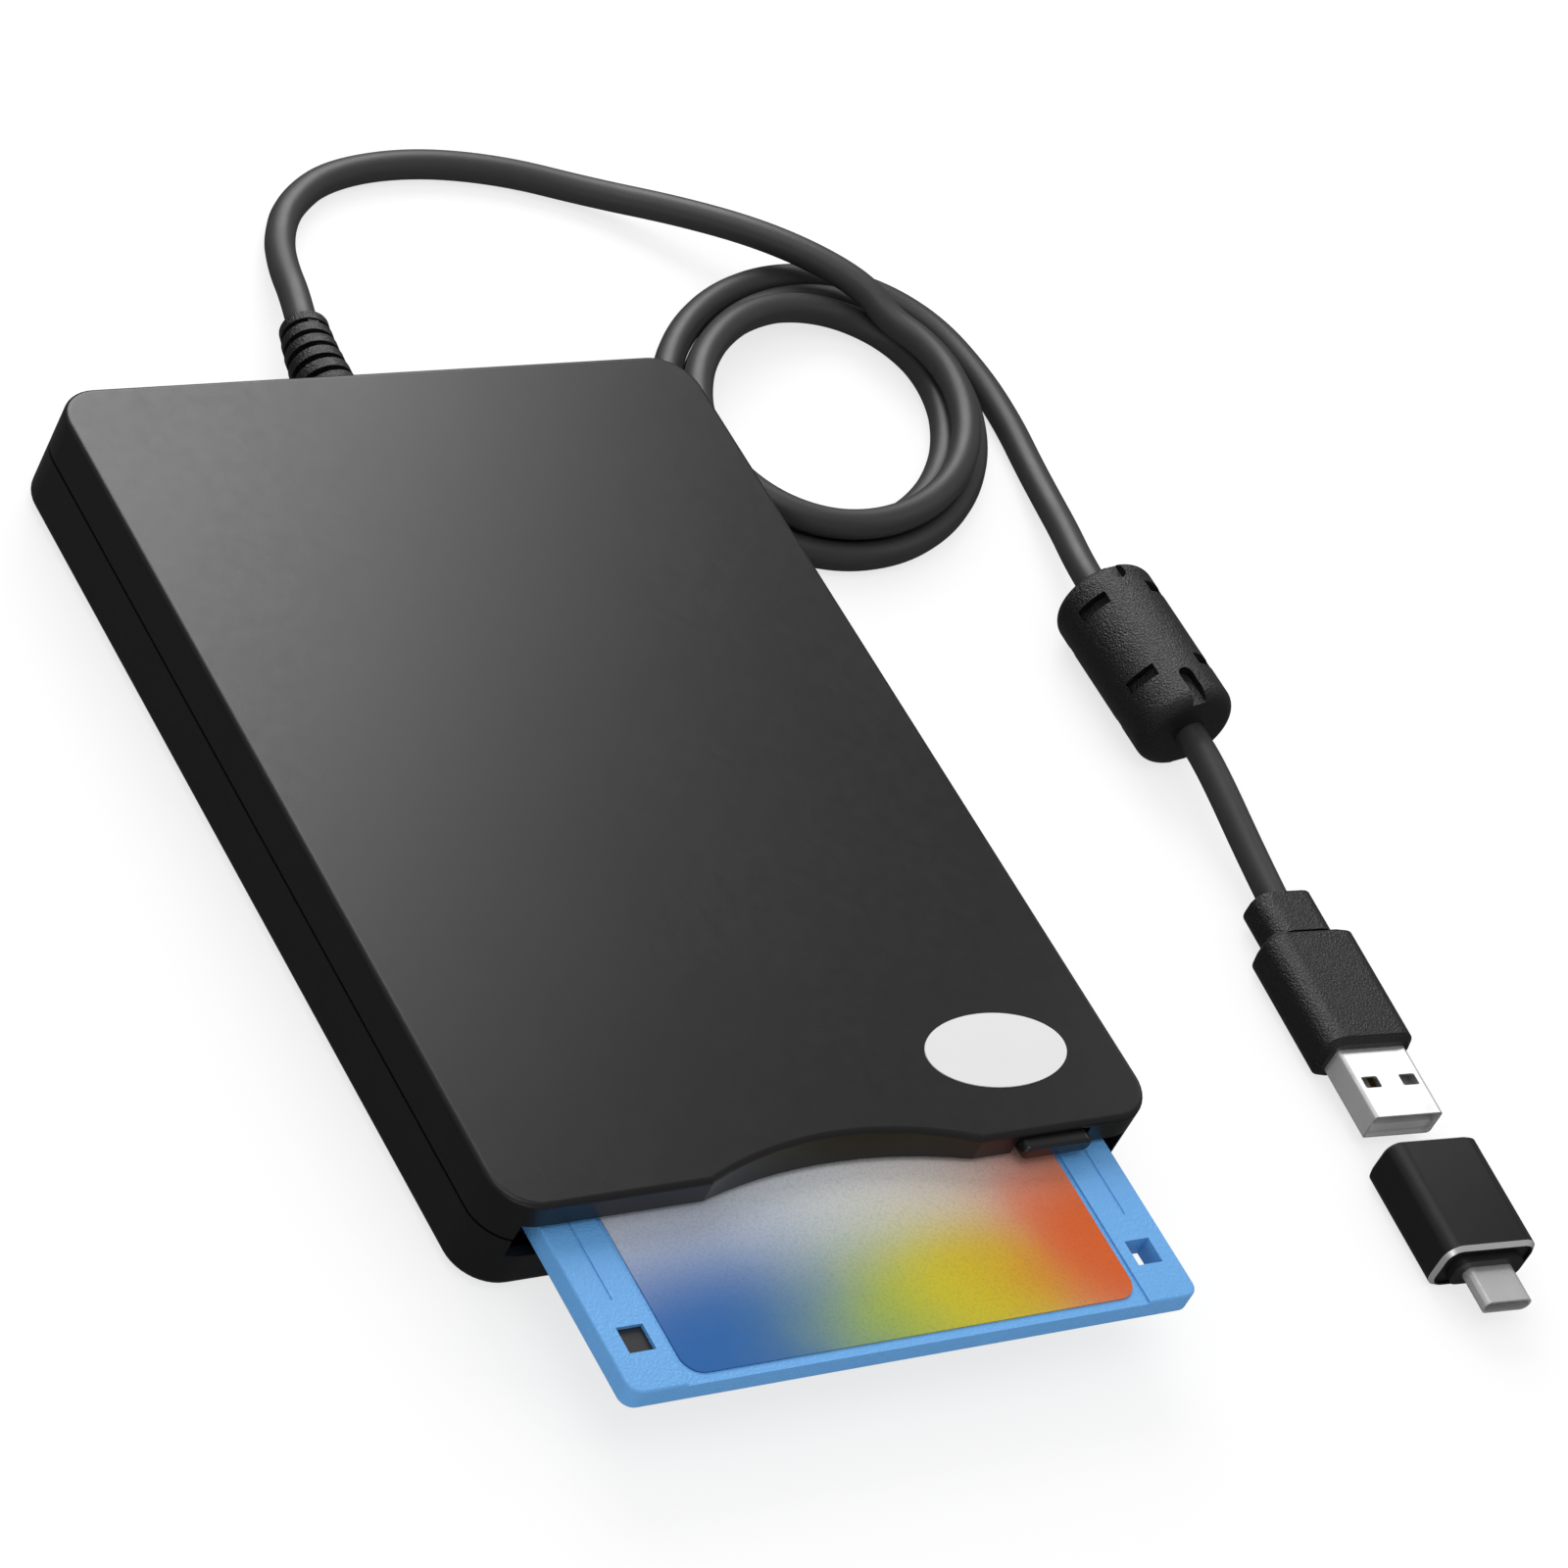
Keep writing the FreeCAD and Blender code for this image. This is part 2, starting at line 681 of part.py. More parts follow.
def railClips():
    """Sheet clips that hold the rod's two ends and the screw's front end."""
    clips = []
    for x, y in ((rodX, headY - trackTravel + 4.0), (rodX, motorFrontY() - 0.4), (screwX, headY - trackTravel + 5.0)):
        clip = box(x - 2.6, x + 2.6, y, y + 1.0, chassisTop, railHeight + 1.7)
        clips.append(clip.cut(rod(x, y - 1, railHeight, rodDiameter / 2 + runningFit, 4, Vector(0, 1, 0))))
    return Part.makeCompound(clips)


def leadScrew():
    start = headY - trackTravel + 5.0
    screwRod = rod(screwX, start, railHeight, leadDiameter / 2, motorFrontY() - start - 0.3, Vector(0, 1, 0))
    tip = rod(screwX, start, railHeight, 0.7, motorFrontY() - start + 1.5, Vector(0, 1, 0))
    return screwRod.fuse(tip).removeSplitter()


def stepperMotor():
    can = rod(screwX, motorFrontY(), railHeight, motorDiameter / 2, motorLength, Vector(0, 1, 0))
    ends = [e for e in can.Edges if e.BoundBox.YMax - e.BoundBox.YMin < 1e-3]
    can = can.makeFillet(0.5, ends)
    flange = box(screwX - 6.2, screwX + 6.2, motorFrontY() + 0.6, motorFrontY() + 1.4, chassisTop, railHeight + 3.4)
    bore = rod(screwX, motorFrontY() - 1, railHeight, 0.7 + runningFit, 3.2, Vector(0, 1, 0))
    return can.fuse(flange).cut(bore).removeSplitter()


def controllerBoard():
    z0 = chassisTop + boardLift
    board = box(boardLeft, boardRight, boardFront, chassisBack - 1.0, z0, z0 + boardThickness)
    for x in (boardLeft + 2.0, boardRight - 2.0):
        board = board.fuse(rod(x, chassisBack - 4.0, chassisTop, 1.6, boardLift))
    for x, y in chassisScrewPlaces():
        room = screwHead / 2 + 0.5
        board = board.cut(box(x - room, x + room, y - room, y + room, chassisTop - 1, z0 + 5))
    return board.removeSplitter()


def controllerChips():
    z0 = chassisTop + boardLift + boardThickness
    big = box(boardLeft + 12.0, boardLeft + 22.0, boardFront + 3.0, boardFront + 13.0, z0, z0 + chipHeight)
    small = box(boardRight - 6.5, boardRight - 2.0, boardFront + 3.0, boardFront + 8.0, z0, z0 + chipHeight)
    plug = box(boardLeft + 10.0, boardRight - 2.0, chassisBack - 4.8, chassisBack - 2.0, z0, z0 + headerHeight)
    return Part.makeCompound([big, small, plug])


def bridgeBoard():
    z0 = boardHeight()
    return roundedBox(bridgeLeft, bridgeRight, bridgeFront, bridgeFront + bridgeDepth, z0, z0 + boardThickness, 0.8)


def bridgeChips():
    z0 = boardHeight() + boardThickness
    near = bridgeFront + 2.0
    header = box(bridgeLeft + 1.0, bridgeLeft + 17.0, bridgeFront + 0.5, bridgeFront + 3.3, z0, ribbonLow())
    chip = box(bridgeLeft + 6.0, bridgeLeft + 14.0, near + 2.0, near + 7.5, z0, z0 + chipHeight)
    crystal = roundedBox(bridgeLeft + 18.0, bridgeLeft + 28.0, near + 0.5, near + 4.1, z0, z0 + headerHeight, 1.6)
    socket = box(bridgeRight - 14.0, bridgeRight - 2.0, near - 1.0, near + 3.5, z0, z0 + headerHeight)
    return Part.makeCompound([header, chip, crystal, socket])


def ribbonLow():
    return chassisTop + boardLift + boardThickness + headerHeight


def ribbonCable():
    """The flat ribbon between the drive's own board and the interface board."""
    low = ribbonLow()
    start = chassisBack - 3.4
    points = [(start, low), (start + 2.9, low + 1.2), (start + 6.9, low + 1.2), (start + 8.9, low)]
    wire = Part.makePolygon([Vector(0, y, z) for y, z in points] +
                            [Vector(0, y, z + 0.3) for y, z in reversed(points)] + [Vector(0, points[0][0], low)])
    strip = Part.Face(wire).extrude(Vector(14, 0, 0))
    strip.translate(Vector(boardLeft + 12.0, 0, 0))
    return strip


def diskOutline(z0, z1, inset=0.0):
    half = diskWidth / 2 - inset
    solid = roundedBox(-half, half, diskFrontY + inset, diskBackY - inset, z0, z1, diskCorner - min(inset, 1.0))
    return solid


def diskHoles():
    y = diskFrontY + holeFromEnd
    x = diskWidth / 2 - holeInset
    return [box(sx * x - holeSize / 2, sx * x + holeSize / 2, y - holeSize / 2, y + holeSize / 2,
                diskBottom - 1, diskTop + 1) for sx in (-1, 1)]


def tabPocket(z0, z1, gap):
    x = -(diskWidth / 2 - holeInset)
    y0 = diskFrontY + holeFromEnd - tabLength / 2 + 1.2 - gap
    return box(x - tabWidth / 2 - gap, x + tabWidth / 2 + gap, y0, y0 + tabLength + tabTravel + 2 * gap, z0, z1)


def shutterBand(z0, z1):
    """The shallow recess along the leading edge in which the shutter slides."""
    x0 = shutterLeft - slideGap
    x1 = shutterLeft + shutterWidth + shutterTravel + slideGap
    return box(x0, x1, diskBackY - shutterLength - slideGap, diskBackY + 1, z0, z1)


def headWindow():
    y1 = diskBackY - windowNear
    return roundedBox(-windowWidth / 2, windowWidth / 2, y1 - windowLength, y1, diskBottom - 1, diskTop + 1, 1.5)


def mediaCentreY():
    return diskBackY - hubDistance


def diskCut(half):
    """What both halves of the disk's case lose: media room, holes, window and shutter room."""
    half = half.cut(rod(0, mediaCentreY(), diskBottom + diskWall, mediaDiameter / 2 + 0.6, diskThickness - 2 * diskWall))
    half = half.cut(headWindow())
    for hole in diskHoles():
        half = half.cut(hole)
    half = half.cut(tabPocket(diskBottom + 0.6, diskTop - 0.6, slideGap))
    depth = shutterSheet + slideGap
    half = half.cut(shutterBand(diskTop - depth, diskTop + 1))
    half = half.cut(shutterBand(diskBottom - 1, diskBottom + depth))
    lead = box(shutterLeft - slideGap, shutterLeft + shutterWidth + shutterTravel + slideGap,
               diskBackY - depth, diskBackY + 1, diskBottom - 1, diskTop + 1)
    return half.cut(lead)


def diskCaseUpper():
    middle = (diskBottom + diskTop) / 2
    shell = diskOutline(middle, diskTop)
    shell = shell.makeFillet(0.35, edgesAt(shell, diskTop))
    shell = diskCut(shell)
    half = labelWidth / 2 + labelMargin
    y1 = diskFrontY + labelInset + labelLength + labelMargin
    recess = roundedBox(-half, half, diskFrontY - 5, y1, diskTop - labelStep, diskTop + 1, labelCorner)
    shell = shell.cut(recess)
    for side in (-1, 1):
        x = side * (diskWidth / 2 - 4.2)
        shell = shell.cut(box(x - 0.25, x + 0.25, diskFrontY + 14, diskFrontY + 60, diskTop - 0.15, diskTop + 1))
    return shell.removeSplitter()


def diskCaseLower():
    middle = (diskBottom + diskTop) / 2
    shell = diskOutline(diskBottom, middle)
    shell = shell.makeFillet(0.35, edgesAt(shell, diskBottom))
    shell = diskCut(shell)
    shell = shell.cut(rod(0, mediaCentreY(), diskBottom - 1, hubDiameter / 2 + hubGap, 3))
    return shell.removeSplitter()


def diskShutter():
    """A folded sheet over the leading edge, with a window that meets the case's when it slides."""
    x0 = shutterLeft
    x1 = shutterLeft + shutterWidth
    y0 = diskBackY - shutterLength
    outer = box(x0, x1, y0, diskBackY, diskBottom, diskTop)
    inner = box(x0 - 1, x1 + 1, y0 - 1, diskBackY - shutterSheet, diskBottom + shutterSheet, diskTop - shutterSheet)
    sheet = outer.cut(inner)
    window = headWindow()
    window.translate(Vector(-shutterTravel, 0, 0))
    return sheet.cut(window)


def diskLabel():
    half = labelWidth / 2
    y0 = diskFrontY + labelInset
    z0 = diskTop - labelStep
    return roundedBox(-half, half, y0, y0 + labelLength, z0, z0 + labelThickness, labelCorner)


def diskMedia():
    middle = (diskBottom + diskTop) / 2
    centre = mediaCentreY()
    film = rod(0, centre, middle - mediaThickness / 2, mediaDiameter / 2, mediaThickness)
    return film.cut(rod(0, centre, 0, hubDiameter / 2 - 2.0, 30))


def diskHub():
    middle = (diskBottom + diskTop) / 2
    centre = mediaCentreY()
    z0 = diskBottom + 0.1
    cup = rod(0, centre, z0, hubDiameter / 2, middle - mediaThickness / 2 - z0)
    cup = cup.makeFillet(0.4, edgesAt(cup, z0))
    cup = cup.cut(rod(0, centre, z0 + 0.4, hubDiameter / 2 - 4.5, 4))
    cup = cup.cut(box(-2, 2, centre - 2, centre + 2, 0, 30))
    return cup.cut(roundedBox(7.0, 10.6, centre - 4, centre + 4, z0 - 1, middle + 1, 1.2))


def writeTab():
    x = -(diskWidth / 2 - holeInset)
    y0 = diskFrontY + holeFromEnd - tabLength / 2 + 1.2
    tab = box(x - tabWidth / 2, x + tabWidth / 2, y0, y0 + tabLength, diskBottom + 0.6 + slideGap,
              diskTop - 0.6 - slideGap)
    ridge = box(x - tabWidth / 2 + 1, x + tabWidth / 2 - 1, y0 + 1.5, y0 + 2.1, diskBottom + 0.6, diskBottom + 1.2)
    return tab.cut(ridge)


def strainRelief():
    """A bent boot: a flange behind the wall, a slim core and ribs that shrink towards the tip."""
    tube = []
    coreRadius = cordDiameter / 2 + 0.7
    start, along = bootPoint(0)
    middle = bootPoint(bootLength / 2)[0]
    end = bootPoint(bootLength)[0]
    path = Part.Wire([Part.Arc(start, middle, end).toShape()])
    circle = Part.Wire(Part.Circle(start, along, coreRadius).toShape())
    tube.append(path.makePipeShell([circle], True, False))
    pitch = (bootLength - ribWidth) / (bootRibs - 1)
    for i in range(bootRibs):
        share = i / (bootRibs - 1)
        radius = (bootBase + (bootTip - bootBase) * share) / 2 - 0.1
        point, direction = bootPoint(pitch * i)
        tube.append(Part.makeCylinder(radius, ribWidth, point, direction))
    web = webStrips(pitch)
    flange = rod(start.x, halfDepth - sideWall - 1.6, start.z, bootBase / 2 + 1.3, 1.4, Vector(0, 1, 0))
    collar = rod(start.x, halfDepth - sideWall - 0.4, start.z, bootBase / 2 - 0.1, sideWall + 0.5, Vector(0, 1, 0))
    return fused(tube + [flange, collar] + web)


def webStrips(pitch):
    """Narrow webs that join the ribs lengthwise, crosswise by turns, and leave slots between them."""
    strips = []
    for i in range(bootRibs - 1):
        point, direction = bootPoint(pitch * i + ribWidth + (pitch - ribWidth) / 2)
        quarter = 90.0 if i % 2 else 0.0
        radius = bootTip / 2 - 0.35
        bar = Part.makeBox(2 * radius, pitch * 1.2, 1.6, Vector(-radius, -pitch * 0.6, -0.8))
        bar.rotate(Vector(0, 0, 0), Vector(0, 1, 0), quarter)
        turn = FreeCAD.Rotation(Vector(0, 1, 0), direction)
        bar.Placement = FreeCAD.Placement(point, turn).multiply(bar.Placement)
        strips.append(bar)
    return strips


def tubePath(points, name):
    """Straight runs joined by tangent arcs, each as large as its two runs allow."""
    edges = []
    start = points[0]
    length = 0.0
    radii = []
    for i in range(1, len(points) - 1):
        before = points[i] - points[i - 1]
        after = points[i + 1] - points[i]
        reach = 0.45 * min(before.Length, after.Length)
        half = before.getAngle(after) / 2
        radius = reach / math.tan(half)
        radii.append(round(radius, 1))
        a = points[i] - before.normalize() * reach
        b = points[i] + after.normalize() * reach
        edges.append(Part.LineSegment(start, a).toShape())
        weight = math.cos(half)
        middle = (a + points[i] * (2 * weight) + b) * (1 / (2 + 2 * weight))
        edges.append(Part.Arc(a, middle, b).toShape())
        length += (a - start).Length + radius * half * 2
        start = b
    edges.append(Part.LineSegment(start, points[-1]).toShape())
    length += (points[-1] - start).Length
    print(name, "length", round(length, 1), "radii", radii)
    return edges, length


def cordTube(points, name):
    edges, length = tubePath(points, name)
    direction = (points[1] - points[0]).normalize()
    circle = Part.Wire(Part.Circle(points[0], direction, cordDiameter / 2).toShape())
    solid = Part.Wire(edges).makePipeShell([circle], True, False)
    section = math.pi * (cordDiameter / 2) ** 2
    print(name, "volume ratio", round(solid.Volume / (section * length), 4))
    return solid


def coilPoint(turn):
    """Centre line of the coil: in over the top in the groove of the floor turns, down inside, and
    out again along the floor. turn counts clockwise from the far end of the oval."""
    first = 0.5
    last = 1.0
    bearing = math.radians(coilBearing)
    far = Vector(math.cos(bearing), math.sin(bearing), 0)
    side = Vector(math.sin(bearing), -math.cos(bearing), 0)
    rest = cordDiameter / 2
    lower = coilPitch * turn
    if turn >= last:
        grow = coilPitch * (turn - last)
        height = rest
    else:
        share = min(max((turn - first) / (last - first), 0.0), 1.0)
        roll = math.radians(60.0 + 120.0 * (0.5 - 0.5 * math.cos(math.pi * share)))
        grow = lower + coilPitch * math.cos(roll)
        height = rest + coilPitch * math.sin(roll)
    angle = 2 * math.pi * turn
    flat = far * ((coilLong + grow) * math.cos(angle)) + side * ((coilShort + grow) * math.sin(angle))
    return Vector(coilCentreX, coilCentreY, height) + flat


def coilTangent(turn):
    step = 0.002
    return (coilPoint(turn + step) - coilPoint(turn - step)).normalize()


def biarc(p1, t1, p2, t2):
    """Two tangent arcs from p1 to p2 with the given directions at the ends."""
    chord = p2 - p1
    both = t1 + t2
    a = 2 * (1 - t1.dot(t2))
    b = 2 * chord.dot(both)
    c = -chord.dot(chord)
    reach = (-b + math.sqrt(b * b - 4 * a * c)) / (2 * a) if a > 1e-9 else -c / b
    first = p1 + t1 * reach
    second = p2 - t2 * reach
    middle = (first + second) * 0.5
    return [arcFrom(p1, first, middle), arcFrom(middle, second, p2)]


def arcFrom(a, corner, b):
    weight = (b - a).Length / 2 / (corner - a).Length
    top = (a + corner * (2 * weight) + b) * (1 / (2 + 2 * weight))
    return Part.Arc(a, top, b).toShape()


def cordCoil():
    turns = [i * 0.25 for i in range(int(coilExitTurn / 0.25) + 1)] + [coilExitTurn]
    edges = []
    start = coilPoint(0) - coilTangent(0) * cordDiameter
    edges.append(Part.LineSegment(start, coilPoint(0)).toShape())
    for a, b in zip(turns[:-1], turns[1:]):
        edges += biarc(coilPoint(a), coilTangent(a), coilPoint(b), coilTangent(b))
    end = coilPoint(coilExitTurn) + coilTangent(coilExitTurn) * cordDiameter
    edges.append(Part.LineSegment(coilPoint(coilExitTurn), end).toShape())
    path = Part.Wire(edges)
    circle = Part.Wire(Part.Circle(start, coilTangent(0), cordDiameter / 2).toShape())
    coil = path.makePipeShell([circle], True, False)
    print("coil length", round(path.Length, 1), "volume ratio",
          round(coil.Volume / (path.Length * math.pi * cordDiameter ** 2 / 4), 4))
    points = path.discretize(Number=900)
    step = path.Length / 899
    apart = int(20 / step)
    least = min((points[i] - points[j]).Length for i in range(len(points)) for j in range(i + apart, len(points)))
    print("coil least gap", round(least - cordDiameter, 3))
    return coil


def leadRoute():
    """From the boot's tip along the floor and over the coil's outer turns to the coil's start."""
    tip, direction = bootPoint(bootLength)
    rest = cordDiameter / 2
    start = coilPoint(0) - coilTangent(0) * cordDiameter
    back = coilTangent(0) * -1
    return [tip, tip + direction * 8.0,
            Vector(5.4, 107.3, rest + 0.1), Vector(11.8, 118.0, rest), Vector(23.5, 125.4, rest),
            Vector(38.5, 127.6, rest), Vector(54.0, 125.3, rest), Vector(67.5, 119.3, rest + 0.3),
            Vector(78.5, 112.0, rest + 2.8), start + back * 19.0 + Vector(0, 0, 0.5), start + back * 8.0, start]


def beadBackY():
    return beadFrontY + beadLength


def tailRoute():
    """From the coil's exit along the floor and up into the bead."""
    end = coilPoint(coilExitTurn) + coilTangent(coilExitTurn) * cordDiameter
    along = coilTangent(coilExitTurn)
    rest = cordDiameter / 2
    axis = beadDiameter / 2
    return [end, end + along * 8.0, Vector(113.6, 53.0, rest + 0.9), Vector(110.2, 45.0, rest + 3.2),
            Vector(beadX + 0.8, beadBackY() + 10.0, axis - 0.2), Vector(beadX, beadBackY(), axis)]


def endRoute():
    """From the bead down to the plug's neck."""
    rest = beadDiameter / 2
    turn = math.radians(plugTurn)
    neck = Vector(plugX, plugY, plugHeight)
    back = Vector(-math.sin(turn), math.cos(turn), 0)
    return [Vector(beadX, beadFrontY, rest), Vector(beadX, beadFrontY - 7.0, rest - 0.3),
            neck + back * 8.0 + Vector(0, 0, 0.6), neck]


def bead(x, diameter, length, y0, bore, edge):
    axis = Vector(0, 1, 0)
    body = rod(x, y0, beadDiameter / 2, diameter / 2, length, axis)
    if edge > 0:
        ends = [e for e in body.Edges if e.BoundBox.YMax - e.BoundBox.YMin < 1e-3]
        body = body.makeFillet(edge, ends)
    return body.cut(rod(x, y0 - 1, beadDiameter / 2, bore / 2, length + 2, axis))


def ferriteCore():
    return bead(beadX, coreDiameter, coreLength, beadFrontY + (beadLength - coreLength) / 2, coreBore, 0)


def ferriteCover():
    """The moulded cover: round ends, the core's room, pits of the mould's core pins and end notches."""
    cover = bead(beadX, beadDiameter, beadLength, beadFrontY, cordDiameter, beadRound)
    room = coreLength + 0.2
    axis = beadDiameter / 2
    cover = cover.cut(rod(beadX, beadFrontY + (beadLength - room) / 2, axis, coreDiameter / 2 + 0.1, room,
                          Vector(0, 1, 0)))
    for turn in range(4):
        for y in (beadFrontY + windowFromEnd + windowAxial, beadBackY() - windowFromEnd):
            pit = box(-windowArc / 2, windowArc / 2, y - windowAxial / 2, y + windowAxial / 2, axis - beadPit, axis + 1)
            cover = cover.cut(onBead(pit, windowTurn + 90.0 * turn))
    for turn in (0, 180):
        cover = cover.cut(onBead(endNotch(beadBackY() - notchAxial, 1), notchTurn + turn))
        cover = cover.cut(onBead(endNotch(beadFrontY + notchLong, -1), notchTurn + turn))
    return cover


def endNotch(y, side):
    """An open notch with a round bottom at y that runs out through the bead's end."""
    half = windowAxial / 2
    floor = beadDiameter / 2 - beadPit
    run = box(-half, half, min(y, y + side * beadLength), max(y, y + side * beadLength), floor, floor + beadDiameter)
    return run.fuse(rod(0, y, floor, half, beadDiameter))


def onBead(cutter, degrees):
    cutter.rotate(Vector(0, 0, 0), Vector(0, 1, 0), degrees)
    cutter.translate(Vector(beadX, 0, beadDiameter / 2))
    return cutter


def cordThrough():
    return rod(beadX, beadFrontY, beadDiameter / 2, cordDiameter / 2, beadLength, Vector(0, 1, 0))


def placed(shape):
    """Moves a piece from the plug's own frame, nose towards -Y, to where the plug lies."""
    shape.rotate(Vector(0, 0, 0), Vector(0, 0, 1), plugTurn)
    shape.translate(Vector(plugX, plugY, plugHeight))
    return shape


def flatBar(width, thick, y0, y1, radius):
    """A bar along Y with a rounded section, centred on the plug's axis."""
    bar = box(-width / 2, width / 2, y0, y1, -thick / 2, thick / 2)
    sides = [e for e in bar.Edges if abs(e.tangentAt(e.FirstParameter).y) > 0.9]
    return bar.makeFillet(radius, sides)


def plugMould():
    """The overmoulded grip: a slim neck, a sloping shoulder and a body with bulging sides."""
    neck = flatBar(neckWidth, neckThick, -neckLength, 0, neckRadius)
    nose = -neckLength - mouldLength
    body = flatBar(mouldWidth, mouldThick, nose, -neckLength, mouldRadius)
    front = [e for e in body.Edges if e.BoundBox.YMax < nose + 1e-3]
    body = body.makeChamfer(noseChamfer, front)
    back = [e for e in body.Edges if e.BoundBox.YMin > -neckLength - 1e-3]
    body = body.makeChamfer(shoulderSlope, back)
    grip = fused([neck, body])
    grip = grip.cut(flatBar(shellWidth, shellHeight, nose - 1, nose + shellSeat, 0.6))
    return placed(grip)


def plugShell():
    y1 = -neckLength - mouldLength + shellSeat
    y0 = y1 - shellSeat - shellLength
    shell = flatBar(shellWidth, shellHeight, y0, y1, 0.6)
    shell = shell.cut(flatBar(shellWidth - 2 * shellSheet, shellHeight - 2 * shellSheet, y0 - 1, y1 + 1, 0.35))
    for side in (-1, 1):
        for up in (-1, 1):
            x = side * latchApart / 2
            hole = roundedBox(x - latchWidth / 2, x + latchWidth / 2, y0 + latchBehind, y0 + latchBehind + latchLength,
                              0, shellHeight, 0.3)
            shell = shell.cut(hole if up > 0 else hole.mirror(Vector(0, 0, 0), Vector(0, 0, 1)))
    return placed(shell)


def plugTongue():
    """The insulator that carries the contacts, in the shell's lower half."""
    y1 = -neckLength - mouldLength + shellSeat
    y0 = y1 - shellSeat - shellLength + 0.6
    low = -shellHeight / 2 + shellSheet
    half = shellWidth / 2 - shellSheet
    block = box(-half, half, y0, y1, low, low + tongueThick)
    root = box(-half, half, y1 - 3.6, y1, low, shellHeight / 2 - shellSheet)
    room = flatBar(2 * half, shellHeight - 2 * shellSheet, y0 - 1, y1 + 1, 0.35)
    return placed(block.fuse(root).removeSplitter().common(room))


def plugContacts():
    y1 = -neckLength - mouldLength
    y0 = y1 - shellLength + 1.6
    top = -shellHeight / 2 + shellSheet + tongueThick
    pins = []
    for x in (-3.5, -1.0, 1.0, 3.5):
        pins.append(box(x - 0.5, x + 0.5, y0, y1, top, top + 0.1))
    return placed(Part.makeCompound(pins))


def adapterBackY():
    return -neckLength - mouldLength - shellLength - adapterGap


def adapterSleeve():
    y1 = adapterBackY()
    y0 = y1 - adapterLength
    sleeve = flatBar(adapterWidth, adapterThick, y0, y1, adapterRadius)
    ends = [e for e in sleeve.Edges if e.BoundBox.YMax - e.BoundBox.YMin < 1e-3]
    sleeve = sleeve.makeChamfer(adapterChamfer, ends)
    inner = flatBar(adapterWidth - 2 * adapterSkin, adapterThick - 2 * adapterSkin, y0 - 1, y1 + 1, adapterRadius - adapterSkin)
    return placed(sleeve.cut(inner))


def adapterCore():
    """The black insert: socket for the flat plug at the back, raised block at the front."""
    y1 = adapterBackY() - 0.4
    y0 = adapterBackY() - adapterLength + 0.4
    gap = 0.02
    core = flatBar(adapterWidth - 2 * adapterSkin - gap, adapterThick - 2 * adapterSkin - gap, y0, y1,
                   adapterRadius - adapterSkin)
    block = flatBar(collarWidth, collarThick, y0 - collarProud, y0 + 1, 1.7)
    core = core.fuse(block)
    room = flatBar(shellWidth + 2 * socketPlay, shellHeight + 2 * socketPlay, y1 - socketDepth, y1 + 1, 0.6)
    core = core.cut(room)
    low = -shellHeight / 2 + shellSheet + tongueThick
    tongue = box(-5.3, 5.3, y1 - socketDepth - 0.5, y1 - 2.0, low + 0.35, low + 0.35 + 1.1)
    core = core.fuse(tongue).cut(flatBar(tipWidth, tipHeight, y0 - 2, y0 + 2, tipHeight / 2 - 0.01))
    return placed(core.removeSplitter())


def adapterTip():
    y0 = adapterBackY() - adapterLength + 0.4
    tip = flatBar(tipWidth, tipHeight, y0 - 0.8 - tipLength, y0 + 2, tipHeight / 2 - 0.01)
    mouth = flatBar(tipWidth - 2 * shellSheet, tipHeight - 2 * shellSheet, y0 - 2 - tipLength, y0 - 1.2,
                    tipHeight / 2 - shellSheet - 0.01)
    return placed(tip.cut(mouth))


def main():
    os.makedirs("parts", exist_ok=True)
    save("upper_cover", upperCover())
    save("lower_case", lowerCase())
    save("badge_plate", badgePlate())
    save("rubber_feet", rubberFeet())
    save("case_screws", caseScrews())
    save("eject_button", ejectButton())
    save("eject_slide", ejectSlide())
    save("chassis_plate", chassisPlate())
    save("chassis_screws", chassisScrews())
    save("disk_holder", diskHolder())
    save("trigger_lever", triggerLever())
    save("lever_post", leverPost())
    save("spindle_bearing", spindleBearing())
    save("spindle_stator", spindleStator())
    save("spindle_rotor", spindleRotor())
    save("head_carriage", headCarriage())
    save("lower_head", lowerHead())
    save("upper_head_arm", upperHeadArm())
    save("upper_head", upperHead())
    save("guide_rod", guideRod())
    save("rail_clips", railClips())
    save("lead_screw", leadScrew())
    save("stepper_motor", stepperMotor())
    save("controller_board", controllerBoard())
    save("controller_chips", controllerChips())
    save("bridge_board", bridgeBoard())
    save("bridge_chips", bridgeChips())
    save("ribbon_cable", ribbonCable())
    save("disk_case_upper", diskCaseUpper())
    save("disk_case_lower", diskCaseLower())
    save("disk_shutter", diskShutter())
    save("disk_label", diskLabel())
    save("disk_media", diskMedia())
    save("disk_hub", diskHub())
    save("write_tab", writeTab())
    save("strain_relief", strainRelief())
    save("cord_lead", cordTube(leadRoute(), "cord_lead"))
    save("cord_coil", cordCoil())
    save("cord_tail", cordTube(tailRoute(), "cord_tail"))
    save("cord_through", cordThrough())
    save("cord_end", cordTube(endRoute(), "cord_end"))
    save("ferrite_core", ferriteCore())
    save("ferrite_cover", ferriteCover())
    save("plug_mould", plugMould())
    save("plug_shell", plugShell())
    save("plug_tongue", plugTongue())
    save("plug_contacts", plugContacts())
    save("adapter_sleeve", adapterSleeve())
    save("adapter_core", adapterCore())
    save("adapter_tip", adapterTip())


main()
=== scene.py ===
import math

import bpy
from mathutils import Matrix, Vector


